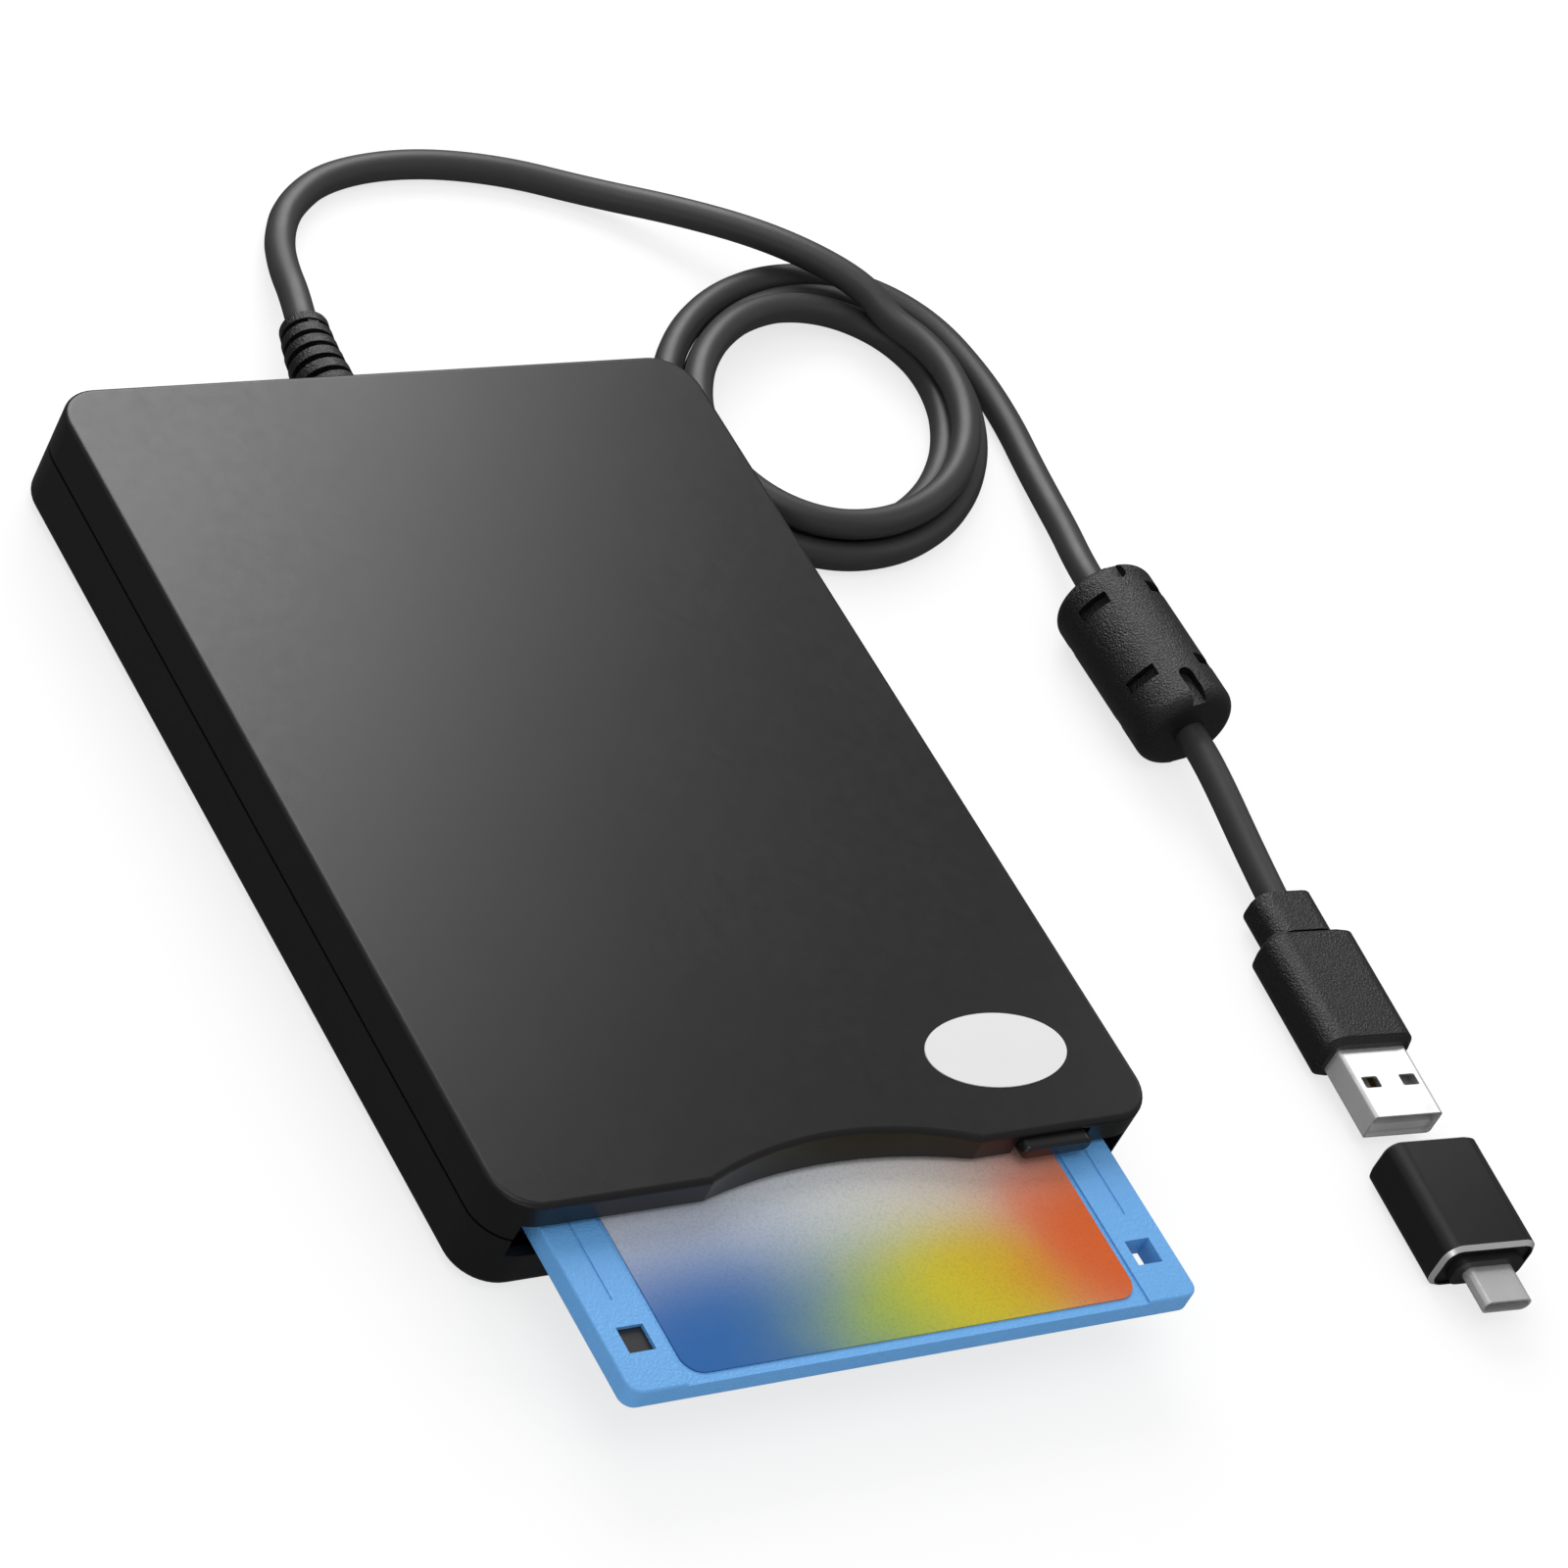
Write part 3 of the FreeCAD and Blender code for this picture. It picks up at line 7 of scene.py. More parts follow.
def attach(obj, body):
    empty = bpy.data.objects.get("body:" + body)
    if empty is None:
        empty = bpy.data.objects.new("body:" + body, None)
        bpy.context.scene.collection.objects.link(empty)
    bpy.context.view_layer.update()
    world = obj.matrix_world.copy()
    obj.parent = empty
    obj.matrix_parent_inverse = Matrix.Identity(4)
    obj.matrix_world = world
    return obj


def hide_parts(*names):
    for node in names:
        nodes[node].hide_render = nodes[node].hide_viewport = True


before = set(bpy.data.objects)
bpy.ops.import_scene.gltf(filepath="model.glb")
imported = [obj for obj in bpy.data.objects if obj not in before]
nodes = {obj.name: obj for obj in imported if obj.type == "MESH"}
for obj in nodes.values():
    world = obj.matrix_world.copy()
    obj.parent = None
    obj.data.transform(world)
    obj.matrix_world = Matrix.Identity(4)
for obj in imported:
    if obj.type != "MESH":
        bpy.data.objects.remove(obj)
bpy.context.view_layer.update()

mm = 0.001

# The photo's view

viewPoint = {
    "eye": Vector((-468.49, -434.16, 546.15)) * mm,
    "azimuth": -49.269,
    "elevation": 39.126,
    "roll": 29.99,
    "lens": 143.24,
    "sensor": 36.0,
    "nearest": 0.05,
    "farthest": 50.0,
}


# right, up and back of the camera, the roll included
def viewAxes():
    azimuth = math.radians(viewPoint["azimuth"])
    elevation = math.radians(viewPoint["elevation"])
    roll = math.radians(viewPoint["roll"])
    level = math.cos(elevation)
    back = Vector((math.sin(azimuth) * level, -math.cos(azimuth) * level, math.sin(elevation)))
    right = Vector((0, 0, 1)).cross(back).normalized()
    up = back.cross(right)
    turnedRight = right * math.cos(roll) + up * math.sin(roll)
    turnedUp = up * math.cos(roll) - right * math.sin(roll)
    return turnedRight, turnedUp, back


def makeCamera():
    data = bpy.data.cameras.new("photoCamera")
    data.lens = viewPoint["lens"]
    data.sensor_width = viewPoint["sensor"]
    data.sensor_fit = "HORIZONTAL"
    data.clip_start = viewPoint["nearest"]
    data.clip_end = viewPoint["farthest"]
    camera = bpy.data.objects.new("photoCamera", data)
    bpy.context.collection.objects.link(camera)
    turn = Matrix(viewAxes()).transposed()
    camera.matrix_world = Matrix.Translation(viewPoint["eye"]) @ turn.to_4x4()
    bpy.context.scene.camera = camera


makeCamera()
print("camera set")

# The pale world and floor

studio = {
    "floorSize": 8.0,
    "floorShade": 0.80,
    "floorGlow": 0.74,
    "floorMirrored": 0.09,
    "worldLight": 0.78,
    "worldMirrored": 0.26,
}


# what the camera sees, what gloss mirrors and what lights the rest
def lightByRay(tree, seen, mirrored, plain, out):
    path = tree.nodes.new("ShaderNodeLightPath")
    inner = tree.nodes.new("ShaderNodeMixShader")
    outer = tree.nodes.new("ShaderNodeMixShader")
    tree.links.new(path.outputs["Is Glossy Ray"], inner.inputs["Fac"])
    tree.links.new(plain.outputs[0], inner.inputs[1])
    tree.links.new(mirrored.outputs[0], inner.inputs[2])
    tree.links.new(path.outputs["Is Camera Ray"], outer.inputs["Fac"])
    tree.links.new(inner.outputs[0], outer.inputs[1])
    tree.links.new(seen.outputs[0], outer.inputs[2])
    tree.links.new(outer.outputs[0], out.inputs["Surface"])


def whiteNode(tree, kind, strength):
    node = tree.nodes.new(kind)
    node.inputs["Color"].default_value = (1, 1, 1, 1)
    node.inputs["Strength"].default_value = strength
    return node


def makeWorld():
    world = bpy.data.worlds.new("paleRoom")
    bpy.context.scene.world = world
    world.use_nodes = True
    tree = world.node_tree
    tree.nodes.clear()
    out = tree.nodes.new("ShaderNodeOutputWorld")
    plain = whiteNode(tree, "ShaderNodeBackground", studio["worldLight"])
    mirrored = whiteNode(tree, "ShaderNodeBackground", studio["worldMirrored"])
    seen = whiteNode(tree, "ShaderNodeBackground", 1.0)
    lightByRay(tree, seen, mirrored, plain, out)


def makeFloor():
    bpy.ops.mesh.primitive_plane_add(size=studio["floorSize"], location=(0, 0, 0))
    floor = bpy.context.object
    floor.name = "paleFloor"
    mat = bpy.data.materials.new("paleFloor")
    mat.use_nodes = True
    tree = mat.node_tree
    tree.nodes.clear()
    out = tree.nodes.new("ShaderNodeOutputMaterial")
    paint = tree.nodes.new("ShaderNodeBsdfDiffuse")
    shade = studio["floorShade"]
    paint.inputs["Color"].default_value = (shade, shade, shade, 1)
    mirrored = whiteNode(tree, "ShaderNodeEmission", studio["floorMirrored"])
    glow = whiteNode(tree, "ShaderNodeEmission", 1.0)
    seen = tree.nodes.new("ShaderNodeMixShader")
    seen.inputs["Fac"].default_value = studio["floorGlow"]
    tree.links.new(paint.outputs[0], seen.inputs[1])
    tree.links.new(glow.outputs[0], seen.inputs[2])
    lightByRay(tree, seen, mirrored, paint, out)
    floor.data.materials.append(mat)


makeWorld()
makeFloor()
print("room ready")

# The lamps, in metres and watts

lamps = {
    "backSoftbox": {
        "spot": (0.10, 0.48, 0.36), "aim": (-0.05, 0.07, 0.0), "size": (0.46, 0.40), "power": 3.2,
    },
    "plugCard": {
        "spot": (0.197, 0.012, 0.106), "aim": (0.103, -0.07, 0.0), "size": (0.06, 0.045), "power": 0.011,
    },
    "overhead": {
        "spot": (-0.25, -0.1, 1.2), "aim": (0.02, 0.0, 0.0), "size": (0.9, 0.9), "power": 3.2,
    },
    "frontStrip": {
        "spot": (-0.5, -0.9, 0.30), "aim": (0.02, 0.0, 0.0), "size": (0.9, 0.10), "power": 0.9,
    },
}


def makeLamp(name, spec):
    data = bpy.data.lights.new(name, "AREA")
    data.shape = "RECTANGLE"
    data.size, data.size_y = spec["size"]
    data.energy = spec["power"]
    lamp = bpy.data.objects.new(name, data)
    bpy.context.collection.objects.link(lamp)
    lamp.location = spec["spot"]
    lamp.rotation_mode = "QUATERNION"
    lamp.rotation_quaternion = (Vector(spec["aim"]) - Vector(spec["spot"])).to_track_quat("-Z", "Y")


for name, spec in lamps.items():
    makeLamp(name, spec)
bpy.context.scene.view_settings.view_transform = "Standard"
print("lamps set:", len(lamps))

# Shared effects as node groups

effects = {
    "grain": {"detail": 3.0, "rough": 0.6, "slowShare": 0.03, "slowDetail": 2.0},
    "brushed": {"detail": 4.0, "rough": 0.65, "patchScale": 60.0, "patchDetail": 2.0},
    "handling": {
        "broadScale": 35.0, "broadDetail": 4.0, "broadRough": 0.6, "smallScale": 420.0, "smallDetail": 2.0,
        "middle": 0.25, "gain": 4.0,
    },
}


# wants maps each input to its kind, and every output is a float
def newGroup(name, wants, gives):
    group = bpy.data.node_groups.new(name, "ShaderNodeTree")
    for label, kind in wants.items():
        group.interface.new_socket(name=label, in_out="INPUT", socket_type=kind)
    for label in gives:
        group.interface.new_socket(name=label, in_out="OUTPUT", socket_type="NodeSocketFloat")
    return group, group.nodes.new("NodeGroupInput"), group.nodes.new("NodeGroupOutput")


def mathNode(tree, kind, a, b):
    node = tree.nodes.new("ShaderNodeMath")
    node.operation = kind
    for socket, value in zip(node.inputs, (a, b)):
        if isinstance(value, (int, float)):
            socket.default_value = value
        else:
            tree.links.new(value, socket)
    return node.outputs[0]


def noiseNode(tree, where, scale, detail, rough=0.5):
    node = tree.nodes.new("ShaderNodeTexNoise")
    node.inputs["Detail"].default_value = detail
    node.inputs["Roughness"].default_value = rough
    tree.links.new(where, node.inputs["Vector"])
    if isinstance(scale, (int, float)):
        node.inputs["Scale"].default_value = scale
    else:
        tree.links.new(scale, node.inputs["Scale"])
    return node.outputs["Fac"]


# spark-eroded mould grain: fine pits over a slower unevenness
def buildGrain(look):
    wants = {"Place": "NodeSocketVector", "Scale": "NodeSocketFloat", "Waviness": "NodeSocketFloat"}
    group, want, give = newGroup("mouldGrain", wants, ["Height", "Patch"])
    place = want.outputs["Place"]
    fine = noiseNode(group, place, want.outputs["Scale"], look["detail"], look["rough"])
    slowScale = mathNode(group, "MULTIPLY", want.outputs["Scale"], look["slowShare"])
    slow = noiseNode(group, place, slowScale, look["slowDetail"])
    uneven = mathNode(group, "MULTIPLY", slow, want.outputs["Waviness"])
    total = mathNode(group, "ADD", fine, uneven)
    group.links.new(total, give.inputs["Height"])
    group.links.new(slow, give.inputs["Patch"])
    return group


# long fine scratches along one axis
def buildBrushed(look):
    wants = {"Place": "NodeSocketVector", "Stretch": "NodeSocketVector", "Scale": "NodeSocketFloat"}
    group, want, give = newGroup("brushedLines", wants, ["Height", "Patch"])
    place = want.outputs["Place"]
    pull = group.nodes.new("ShaderNodeVectorMath")
    pull.operation = "MULTIPLY"
    group.links.new(place, pull.inputs[0])
    group.links.new(want.outputs["Stretch"], pull.inputs[1])
    lines = noiseNode(group, pull.outputs[0], want.outputs["Scale"], look["detail"], look["rough"])
    patch = noiseNode(group, place, look["patchScale"], look["patchDetail"])
    group.links.new(lines, give.inputs["Height"])
    group.links.new(patch, give.inputs["Patch"])
    return group


# faint rub marks and dust that lift or lower the gloss
def buildHandling(look):
    wants = {"Place": "NodeSocketVector", "Base": "NodeSocketFloat", "Spread": "NodeSocketFloat"}
    group, want, give = newGroup("handlingMarks", wants, ["Roughness"])
    place = want.outputs["Place"]
    broad = noiseNode(group, place, look["broadScale"], look["broadDetail"], look["broadRough"])
    small = noiseNode(group, place, look["smallScale"], look["smallDetail"])
    both = mathNode(group, "MULTIPLY", broad, small)
    centred = mathNode(group, "SUBTRACT", both, look["middle"])
    swing = mathNode(group, "MULTIPLY", centred, want.outputs["Spread"])
    widened = mathNode(group, "MULTIPLY", swing, look["gain"])
    rough = mathNode(group, "ADD", widened, want.outputs["Base"])
    group.links.new(rough, give.inputs["Roughness"])
    return group


groups = {
    "grain": buildGrain(effects["grain"]),
    "brushed": buildBrushed(effects["brushed"]),
    "handling": buildHandling(effects["handling"]),
}
print("effects built:", len(groups))


def placeGroup(tree, kind, where, **values):
    node = tree.nodes.new("ShaderNodeGroup")
    node.node_tree = groups[kind]
    tree.links.new(where, node.inputs["Place"])
    for label, value in values.items():
        node.inputs[label].default_value = value
    return node


def colourBlend(tree, fac, a, b):
    node = tree.nodes.new("ShaderNodeMix")
    node.data_type = "RGBA"
    tree.links.new(fac, node.inputs["Factor"])
    for label, colour in (("A", a), ("B", b)):
        if isinstance(colour, tuple):
            node.inputs[label].default_value = (*colour, 1.0)
        else:
            tree.links.new(colour, node.inputs[label])
    return node.outputs["Result"]


def startMaterial(name):
    mat = bpy.data.materials.new(name)
    mat.use_nodes = True
    tree = mat.node_tree
    shader = tree.nodes["Principled BSDF"]
    where = tree.nodes.new("ShaderNodeTexCoord").outputs["Object"]
    return mat, tree, shader, where


def addBump(tree, shader, height, strength, depth):
    bump = tree.nodes.new("ShaderNodeBump")
    bump.inputs["Strength"].default_value = strength
    bump.inputs["Distance"].default_value = depth
    tree.links.new(height, bump.inputs["Height"])
    tree.links.new(bump.outputs["Normal"], shader.inputs["Normal"])


# Moulded plastics, rubber and vinyl. Depths are in metres, and scales in cells to the metre.

plastics = {
    "housingPlastic": {
        "wornBy": ["upper_cover", "lower_case"],
        "colour": (0.006, 0.006, 0.0062), "shade": 0.85, "rough": 0.33, "spread": 0.04, "scale": 3800.0,
        "strength": 0.3, "depth": 0.00004, "specular": 0.45,
    },
    "buttonPlastic": {
        "wornBy": ["eject_button"],
        "colour": (0.008, 0.008, 0.008), "shade": 0.9, "rough": 0.22, "spread": 0.05, "scale": 5000.0,
        "strength": 0.08, "depth": 0.00002, "specular": 0.5,
    },
    "badgeSatin": {
        "wornBy": ["badge_plate"],
        "colour": (0.6, 0.6, 0.605), "shade": 0.97, "rough": 0.42, "spread": 0.05, "scale": 5200.0,
        "strength": 0.08, "depth": 0.00002, "specular": 0.5,
    },
    "footRubber": {
        "wornBy": ["rubber_feet"],
        "colour": (0.02, 0.02, 0.02), "shade": 0.8, "rough": 0.75, "spread": 0.08, "scale": 2500.0,
        "strength": 0.35, "depth": 0.00006, "specular": 0.5,
    },
    "naturalAcetal": {
        "wornBy": ["trigger_lever", "head_carriage"],
        "colour": (0.7, 0.68, 0.62), "shade": 0.9, "rough": 0.42, "spread": 0.06, "scale": 3000.0,
        "strength": 0.12, "depth": 0.00003, "specular": 0.5,
    },
    "polishedHead": {
        "wornBy": ["lower_head", "upper_head"],
        "colour": (0.12, 0.12, 0.13), "shade": 0.9, "rough": 0.15, "spread": 0.03, "scale": 6000.0,
        "strength": 0.05, "depth": 0.00001, "specular": 0.5,
    },
    "solderMask": {
        "wornBy": ["controller_board", "bridge_board"],
        "colour": (0.03, 0.2, 0.07), "shade": 0.7, "rough": 0.3, "spread": 0.08, "scale": 1500.0,
        "strength": 0.15, "depth": 0.00003, "specular": 0.5,
    },
    "chipMould": {
        "wornBy": ["controller_chips", "bridge_chips"],
        "colour": (0.03, 0.03, 0.032), "shade": 0.9, "rough": 0.55, "spread": 0.06, "scale": 5000.0,
        "strength": 0.25, "depth": 0.00003, "specular": 0.5,
    },
    "ribbonFilm": {
        "wornBy": ["ribbon_cable"],
        "colour": (0.8, 0.8, 0.76), "shade": 0.95, "rough": 0.35, "spread": 0.05, "scale": 3000.0,
        "strength": 0.08, "depth": 0.00002, "specular": 0.5,
    },
    "diskBlue": {
        "wornBy": ["disk_case_upper", "disk_case_lower"],
        "colour": (0.105, 0.325, 0.66), "shade": 0.93, "rough": 0.42, "spread": 0.06, "scale": 2300.0,
        "strength": 0.9, "depth": 0.00018, "specular": 0.5,
    },
    "oxideFilm": {
        "wornBy": ["disk_media"],
        "colour": (0.05, 0.032, 0.022), "shade": 0.9, "rough": 0.16, "spread": 0.03, "scale": 900.0,
        "strength": 0.03, "depth": 0.00001, "specular": 0.5,
    },
    "tabPlastic": {
        "wornBy": ["write_tab"],
        "colour": (0.018, 0.018, 0.02), "shade": 0.85, "rough": 0.45, "spread": 0.05, "scale": 3500.0,
        "strength": 0.2, "depth": 0.00004, "specular": 0.5,
    },
    "bootVinyl": {
        "wornBy": ["strain_relief", "ferrite_cover", "plug_mould"],
        "colour": (0.004, 0.004, 0.0043), "shade": 0.8, "rough": 0.31, "spread": 0.04, "scale": 3000.0,
        "strength": 1.0, "depth": 0.00026, "specular": 0.6,
    },
    "sinteredFerrite": {
        "wornBy": ["ferrite_core"],
        "colour": (0.05, 0.05, 0.05), "shade": 0.7, "rough": 0.55, "spread": 0.08, "scale": 1800.0,
        "strength": 0.4, "depth": 0.00006, "specular": 0.5,
    },
    "insertPlastic": {
        "wornBy": ["plug_tongue"],
        "colour": (0.5, 0.5, 0.51), "shade": 0.9, "rough": 0.4, "spread": 0.05, "scale": 4000.0,
        "strength": 0.12, "depth": 0.00003, "specular": 0.5,
    },
    "corePlastic": {
        "wornBy": ["adapter_core"],
        "colour": (0.01, 0.01, 0.011), "shade": 0.9, "rough": 0.4, "spread": 0.05, "scale": 4000.0,
        "strength": 0.12, "depth": 0.00003, "specular": 0.5,
    },
}

plasticWaviness = 0.4


# moulded or vinyl finish: grain bump, patchy gloss and a slight colour drift
def mouldedPlastic(name, spec):
    mat, tree, shader, where = startMaterial(name)
    grain = placeGroup(tree, "grain", where, Scale=spec["scale"], Waviness=plasticWaviness)
    marks = placeGroup(tree, "handling", where, Base=spec["rough"], Spread=spec["spread"])
    darker = tuple(part * spec["shade"] for part in spec["colour"])
    tint = colourBlend(tree, grain.outputs["Patch"], darker, spec["colour"])
    tree.links.new(tint, shader.inputs["Base Color"])
    tree.links.new(marks.outputs["Roughness"], shader.inputs["Roughness"])
    shader.inputs["Specular IOR Level"].default_value = spec["specular"]
    addBump(tree, shader, grain.outputs["Height"], spec["strength"], spec["depth"])
    return mat


# Sheet, turned, plated and sintered metals

metals = {
    "zincSheet": {
        "wornBy": ["chassis_plate", "disk_holder", "eject_slide", "rail_clips"],
        "colour": (0.62, 0.63, 0.65), "rough": 0.32, "stretch": (1, 12, 12), "scale": 200.0,
        "strength": 0.06, "spread": 0.1, "metal": 1.0,
    },
    "screwSteel": {
        "wornBy": ["case_screws", "chassis_screws"],
        "colour": (0.5, 0.51, 0.52), "rough": 0.3, "stretch": (8, 8, 1), "scale": 400.0, "strength": 0.12,
        "spread": 0.1, "metal": 1.0,
    },
    "groundSteel": {
        "wornBy": ["lever_post", "guide_rod", "lead_screw", "upper_head_arm", "disk_hub"],
        "colour": (0.66, 0.67, 0.68), "rough": 0.2, "stretch": (30, 1, 30), "scale": 400.0,
        "strength": 0.12, "spread": 0.1, "metal": 1.0,
    },
    "sinteredBrass": {
        "wornBy": ["spindle_bearing"],
        "colour": (0.7, 0.5, 0.2), "rough": 0.42, "stretch": (6, 6, 6), "scale": 500.0, "strength": 0.12,
        "spread": 0.1, "metal": 1.0,
    },
    "enamelCopper": {
        "wornBy": ["spindle_stator"],
        "colour": (0.62, 0.25, 0.1), "rough": 0.3, "stretch": (40, 4, 40), "scale": 300.0, "strength": 0.3,
        "spread": 0.1, "metal": 1.0,
    },
    "pressedSteel": {
        "wornBy": ["spindle_rotor", "stepper_motor"],
        "colour": (0.58, 0.59, 0.6), "rough": 0.28, "stretch": (12, 12, 1), "scale": 260.0,
        "strength": 0.12, "spread": 0.1, "metal": 1.0,
    },
    "shutterSteel": {
        "wornBy": ["disk_shutter"],
        "colour": (0.72, 0.73, 0.74), "rough": 0.3, "stretch": (12, 1, 12), "scale": 200.0,
        "strength": 0.04, "spread": 0.06, "metal": 1.0,
    },
    "platedNickel": {
        "wornBy": ["plug_shell", "adapter_tip"],
        "colour": (0.95, 0.95, 0.955), "rough": 0.24, "stretch": (20, 1, 20), "scale": 300.0,
        "strength": 0.06, "spread": 0.05, "metal": 0.8,
    },
    "goldFlash": {
        "wornBy": ["plug_contacts"],
        "colour": (0.83, 0.6, 0.22), "rough": 0.22, "stretch": (30, 1, 30), "scale": 400.0,
        "strength": 0.12, "spread": 0.1, "metal": 1.0,
    },
}

metalShade = 0.82
metalDepth = 0.00003


# rolled, ground or plated metal with lines along one axis
def workedMetal(name, spec):
    mat, tree, shader, where = startMaterial(name)
    lines = placeGroup(tree, "brushed", where, Stretch=spec["stretch"], Scale=spec["scale"])
    marks = placeGroup(tree, "handling", where, Base=spec["rough"], Spread=spec["spread"])
    darker = tuple(part * metalShade for part in spec["colour"])
    tint = colourBlend(tree, lines.outputs["Patch"], darker, spec["colour"])
    tree.links.new(tint, shader.inputs["Base Color"])
    tree.links.new(marks.outputs["Roughness"], shader.inputs["Roughness"])
    shader.inputs["Metallic"].default_value = spec["metal"]
    addBump(tree, shader, lines.outputs["Height"], spec["strength"], metalDepth)
    return mat


# The adapter's sleeve. Its front end looks along -Y; the chamfer is found by its place and its slant.

sleeve = {
    "wornBy": ["adapter_sleeve"],
    "colour": (0.045, 0.045, 0.047), "shade": 0.85, "bareMetal": (0.90, 0.90, 0.91), "metal": 0.85,
    "rough": 0.34, "spread": 0.04, "scale": 3400.0, "waviness": 0.3, "strength": 0.25, "depth": 0.00004,
    "chamferFrom": -0.090, "normalUnder": -0.25, "normalOver": -0.95,
}


# blasted and dyed sleeve whose cut front chamfer shows the bare metal
def sleeveMetal(name, spec):
    mat, tree, shader, where = startMaterial(name)
    grain = placeGroup(tree, "grain", where, Scale=spec["scale"], Waviness=spec["waviness"])
    marks = placeGroup(tree, "handling", where, Base=spec["rough"], Spread=spec["spread"])
    facing = tree.nodes.new("ShaderNodeSeparateXYZ")
    place = tree.nodes.new("ShaderNodeSeparateXYZ")
    tree.links.new(tree.nodes["Texture Coordinate"].outputs["Normal"], facing.inputs[0])
    tree.links.new(where, place.inputs[0])
    slanted = mathNode(tree, "LESS_THAN", facing.outputs["Y"], spec["normalUnder"])
    notFlat = mathNode(tree, "GREATER_THAN", facing.outputs["Y"], spec["normalOver"])
    nearFront = mathNode(tree, "LESS_THAN", place.outputs["Y"], spec["chamferFrom"])
    cut = mathNode(tree, "MULTIPLY", mathNode(tree, "MULTIPLY", slanted, notFlat), nearFront)
    darker = tuple(part * spec["shade"] for part in spec["colour"])
    dyed = colourBlend(tree, grain.outputs["Patch"], darker, spec["colour"])
    tree.links.new(colourBlend(tree, cut, dyed, spec["bareMetal"]), shader.inputs["Base Color"])
    tree.links.new(marks.outputs["Roughness"], shader.inputs["Roughness"])
    shader.inputs["Metallic"].default_value = spec["metal"]
    addBump(tree, shader, grain.outputs["Height"], spec["strength"], spec["depth"])
    return mat


# The film on the disk. A field's middle lies x half widths to the right and y depths behind the front edge.

labelPrint = {
    "wornBy": ["disk_label"],
    "halfWidth": 0.036,
    "front": -0.096,
    "depth": 0.026,
    "drift": 0.35,
    "driftScale": 45.0,
    "driftDetail": 3.0,
    "driftMiddle": 0.5,
    "fall": 2.0,
    "dotScale": 2600.0,
    "dotStrength": 0.25,
    "dotInk": (0.05, 0.06, 0.08),
    "film": (0.62, 0.63, 0.65),
    "gloss": 0.2,
    "rough": 0.38,
    "spread": 0.1,
    "bump": 0.1,
    "bumpDepth": 0.00002,
    "fields": [
        {"x": -0.75, "y": 0.05, "wide": 0.95, "deep": 0.72, "strength": 1.0, "colour": (0.001, 0.09, 0.33)},
        {"x": 0.12, "y": 0.10, "wide": 0.42, "deep": 0.42, "strength": 0.9, "colour": (0.20, 0.34, 0.02)},
        {"x": 0.45, "y": 0.22, "wide": 0.42, "deep": 0.42, "strength": 1.0, "colour": (0.46, 0.42, 0.001)},
        {"x": 1.00, "y": 0.35, "wide": 0.42, "deep": 0.70, "strength": 1.0, "colour": (0.54, 0.085, 0.003)},
    ],
}


# how strongly one soft colour field shows at a place on the film
def fieldShare(tree, across, along, spot, fall):
    dx = mathNode(tree, "DIVIDE", mathNode(tree, "SUBTRACT", across, spot["x"]), spot["wide"])
    dy = mathNode(tree, "DIVIDE", mathNode(tree, "SUBTRACT", along, spot["y"]), spot["deep"])
    away = mathNode(tree, "ADD", mathNode(tree, "MULTIPLY", dx, dx), mathNode(tree, "MULTIPLY", dy, dy))
    fade = mathNode(tree, "DIVIDE", 1.0, mathNode(tree, "ADD", 1.0, mathNode(tree, "POWER", away, fall)))
    return mathNode(tree, "MULTIPLY", fade, spot["strength"])


# printed film: soft colour fields that run into each other under a fine dot screen
def labelFilm(name, spec):
    mat, tree, shader, where = startMaterial(name)
    split = tree.nodes.new("ShaderNodeSeparateXYZ")
    tree.links.new(where, split.inputs[0])
    drift = noiseNode(tree, where, spec["driftScale"], spec["driftDetail"])
    centred = mathNode(tree, "SUBTRACT", drift, spec["driftMiddle"])
    sway = mathNode(tree, "MULTIPLY", centred, spec["drift"])
    across = mathNode(tree, "ADD", mathNode(tree, "DIVIDE", split.outputs["X"], spec["halfWidth"]), sway)
    inward = mathNode(tree, "SUBTRACT", split.outputs["Y"], spec["front"])
    along = mathNode(tree, "DIVIDE", inward, spec["depth"])
    colour = spec["film"]
    for spot in spec["fields"]:
        shown = fieldShare(tree, across, along, spot, spec["fall"])
        colour = colourBlend(tree, shown, colour, spot["colour"])
    dots = tree.nodes.new("ShaderNodeTexVoronoi")
    dots.inputs["Scale"].default_value = spec["dotScale"]
    tree.links.new(where, dots.inputs["Vector"])
    screen = mathNode(tree, "MULTIPLY", dots.outputs["Distance"], spec["dotStrength"])
    tree.links.new(colourBlend(tree, screen, colour, spec["dotInk"]), shader.inputs["Base Color"])
    marks = placeGroup(tree, "handling", where, Base=spec["rough"], Spread=spec["spread"])
    tree.links.new(marks.outputs["Roughness"], shader.inputs["Roughness"])
    shader.inputs["Specular IOR Level"].default_value = spec["gloss"]
    addBump(tree, shader, dots.outputs["Distance"], spec["bump"], spec["bumpDepth"])
    return mat


# The finishes go on the nodes. The cord gets its own below.


def dress(piece, mat):
    piece.data.materials.clear()
    piece.data.materials.append(mat)


looks = [(spec, mouldedPlastic(name, spec)) for name, spec in plastics.items()]
looks += [(spec, workedMetal(name, spec)) for name, spec in metals.items()]
looks.append((sleeve, sleeveMetal("blastedAnodise", sleeve)))
looks.append((labelPrint, labelFilm("labelPrint", labelPrint)))
for spec, mat in looks:
    for name in spec["wornBy"]:
        dress(nodes[name], mat)
print("finishes on", sum(len(spec["wornBy"]) for spec, mat in looks), "nodes")

# The cord, one smooth line from the boot's tip through the bead to the plug

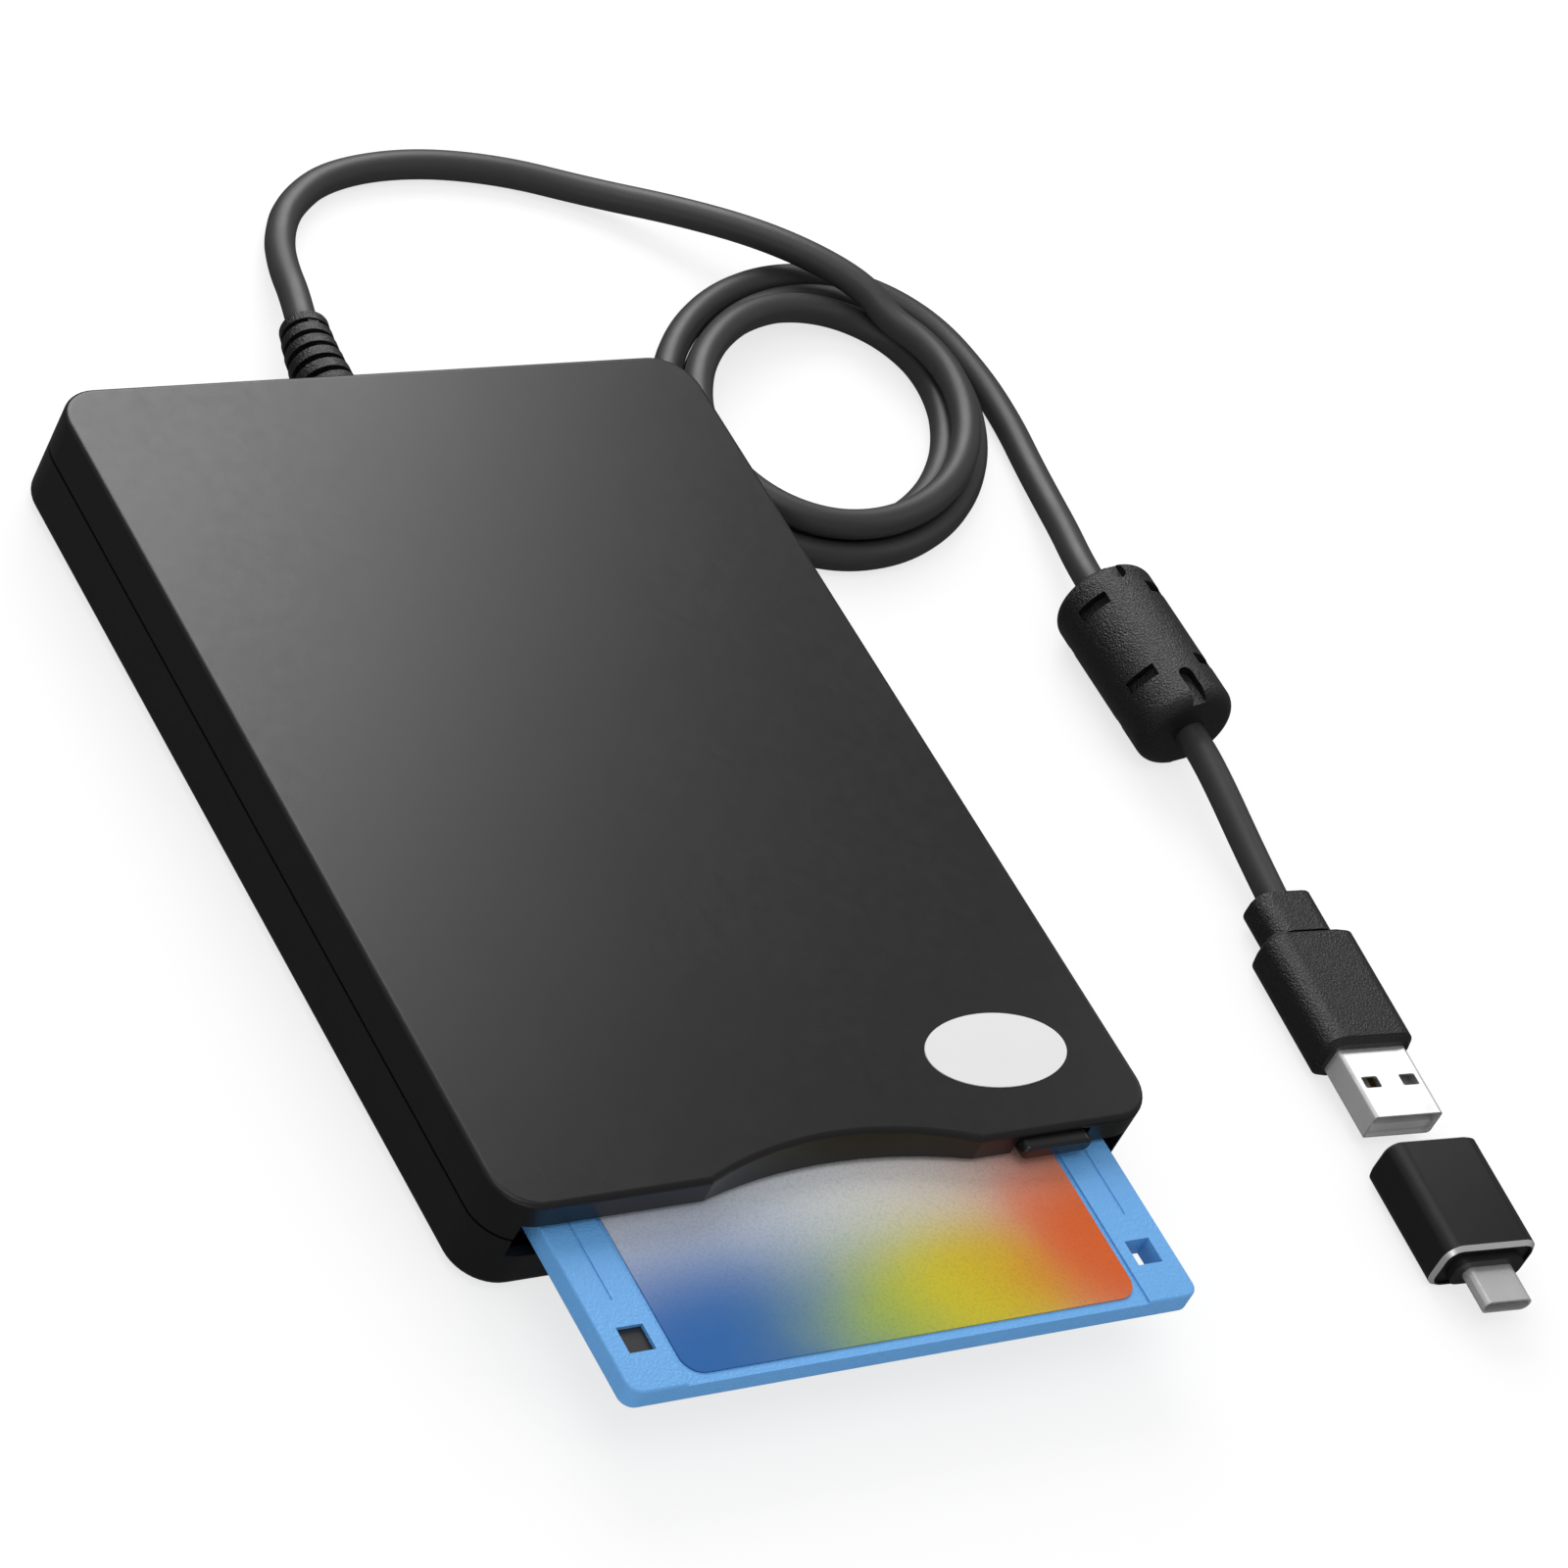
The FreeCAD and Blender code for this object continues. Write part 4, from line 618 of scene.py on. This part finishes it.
cord = {
    "diameter": 4.5 * mm,
    "length": 0.7292,
    "roundSteps": 8,
    "lengthSteps": 8,
    "coilCentre": Vector((84.25, 70.0, 0)) * mm,
    "coilLong": 25.9 * mm,
    "coilShort": 17.5 * mm,
    "pitch": 4.62 * mm,
    "bearing": 40.7,
    "exitTurn": 3.1,
    "perTurn": 16,
    # turn, and where the first turn lies round the second there: 0 degrees outside, 90 on top, 180 inside
    "rolls": [(0.0, 112.0), (0.25, 62.0), (0.58, 62.0), (1.02, 180.0)],
    "lead": [
        (0.15, 89.12, 7.39), (2.77, 96.61, 6.48), (5.2, 104.2, 4.6), (8.6, 111.8, 2.95), (14.0, 119.2, 2.3),
        (23.5, 125.4, 2.25), (38.5, 127.6, 2.25), (54.0, 125.3, 2.25), (67.5, 119.3, 2.55),
        (78.5, 112.0, 5.2), (87.6, 104.4, 7.5), (95.2, 97.4, 8.2), (100.6, 91.0, 7.9),
    ],
    "tail": [
        (116.3, 66.5, 2.25), (114.8, 57.5, 2.4), (112.8, 49.0, 3.5), (110.4, 41.5, 5.2), (107.6, 34.0, 6.9),
        (106.3, 26.5, 7.75),
    ],
    "pastBead": [(106.3, -1.0, 7.75), (106.3, -8.0, 7.45), (105.9, -23.2, 4.8), (105.3, -31.2, 4.2)],
}

cordVinyl = {
    "colour": (0.026, 0.026, 0.0265), "shade": 0.85, "rough": 0.46, "spread": 0.05, "scale": 3000.0,
    "strength": 0.22, "depth": 0.00004, "specular": 0.5,
}


# the angle round the next turn's strand, eased from stop to stop, and inside it past the last stop
def rollAt(turn):
    stops = cord["rolls"]
    for (start, first), (end, last) in zip(stops, stops[1:]):
        if start <= turn <= end:
            share = (turn - start) / (end - start)
            eased = 0.5 - 0.5 * math.cos(math.pi * share)
            return math.radians(first + (last - first) * eased)
    return math.pi


# the first turn lies in the groove of the others and comes down inside them, the rest lie on the floor
def coilPoint(turn):
    bearing = math.radians(cord["bearing"])
    far = Vector((math.cos(bearing), math.sin(bearing), 0))
    side = Vector((math.sin(bearing), -math.cos(bearing), 0))
    roll = rollAt(turn)
    grow = cord["pitch"] * (turn + math.cos(roll))
    height = cord["diameter"] / 2 + cord["pitch"] * math.sin(roll)
    angle = 2 * math.pi * turn
    alongFar = (cord["coilLong"] + grow) * math.cos(angle)
    alongSide = (cord["coilShort"] + grow) * math.sin(angle)
    flat = far * alongFar + side * alongSide
    return cord["coilCentre"] + flat + Vector((0, 0, height))


def cordPoints():
    count = int(cord["exitTurn"] * cord["perTurn"])
    turns = [coilPoint(cord["exitTurn"] * i / count) for i in range(count + 1)]
    lead = [Vector(point) * mm for point in cord["lead"]]
    rest = [Vector(point) * mm for point in cord["tail"] + cord["pastBead"]]
    return lead + turns + rest


def makeCord():
    points = cordPoints()
    curve = bpy.data.curves.new("cord", "CURVE")
    curve.dimensions = "3D"
    curve.bevel_depth = cord["diameter"] / 2
    curve.bevel_resolution = cord["roundSteps"]
    curve.resolution_u = cord["lengthSteps"]
    curve.use_fill_caps = True
    line = curve.splines.new("NURBS")
    line.points.add(len(points) - 1)
    for spot, point in zip(line.points, points):
        spot.co = (*point, 1.0)
    line.order_u = 3
    line.use_endpoint_u = True
    piece = bpy.data.objects.new("cord", curve)
    bpy.context.collection.objects.link(piece)
    dress(piece, mouldedPlastic("cordVinyl", cordVinyl))
    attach(piece, "drive")
    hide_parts("cord_lead", "cord_coil", "cord_tail", "cord_through", "cord_end")


makeCord()
print("cord laid")
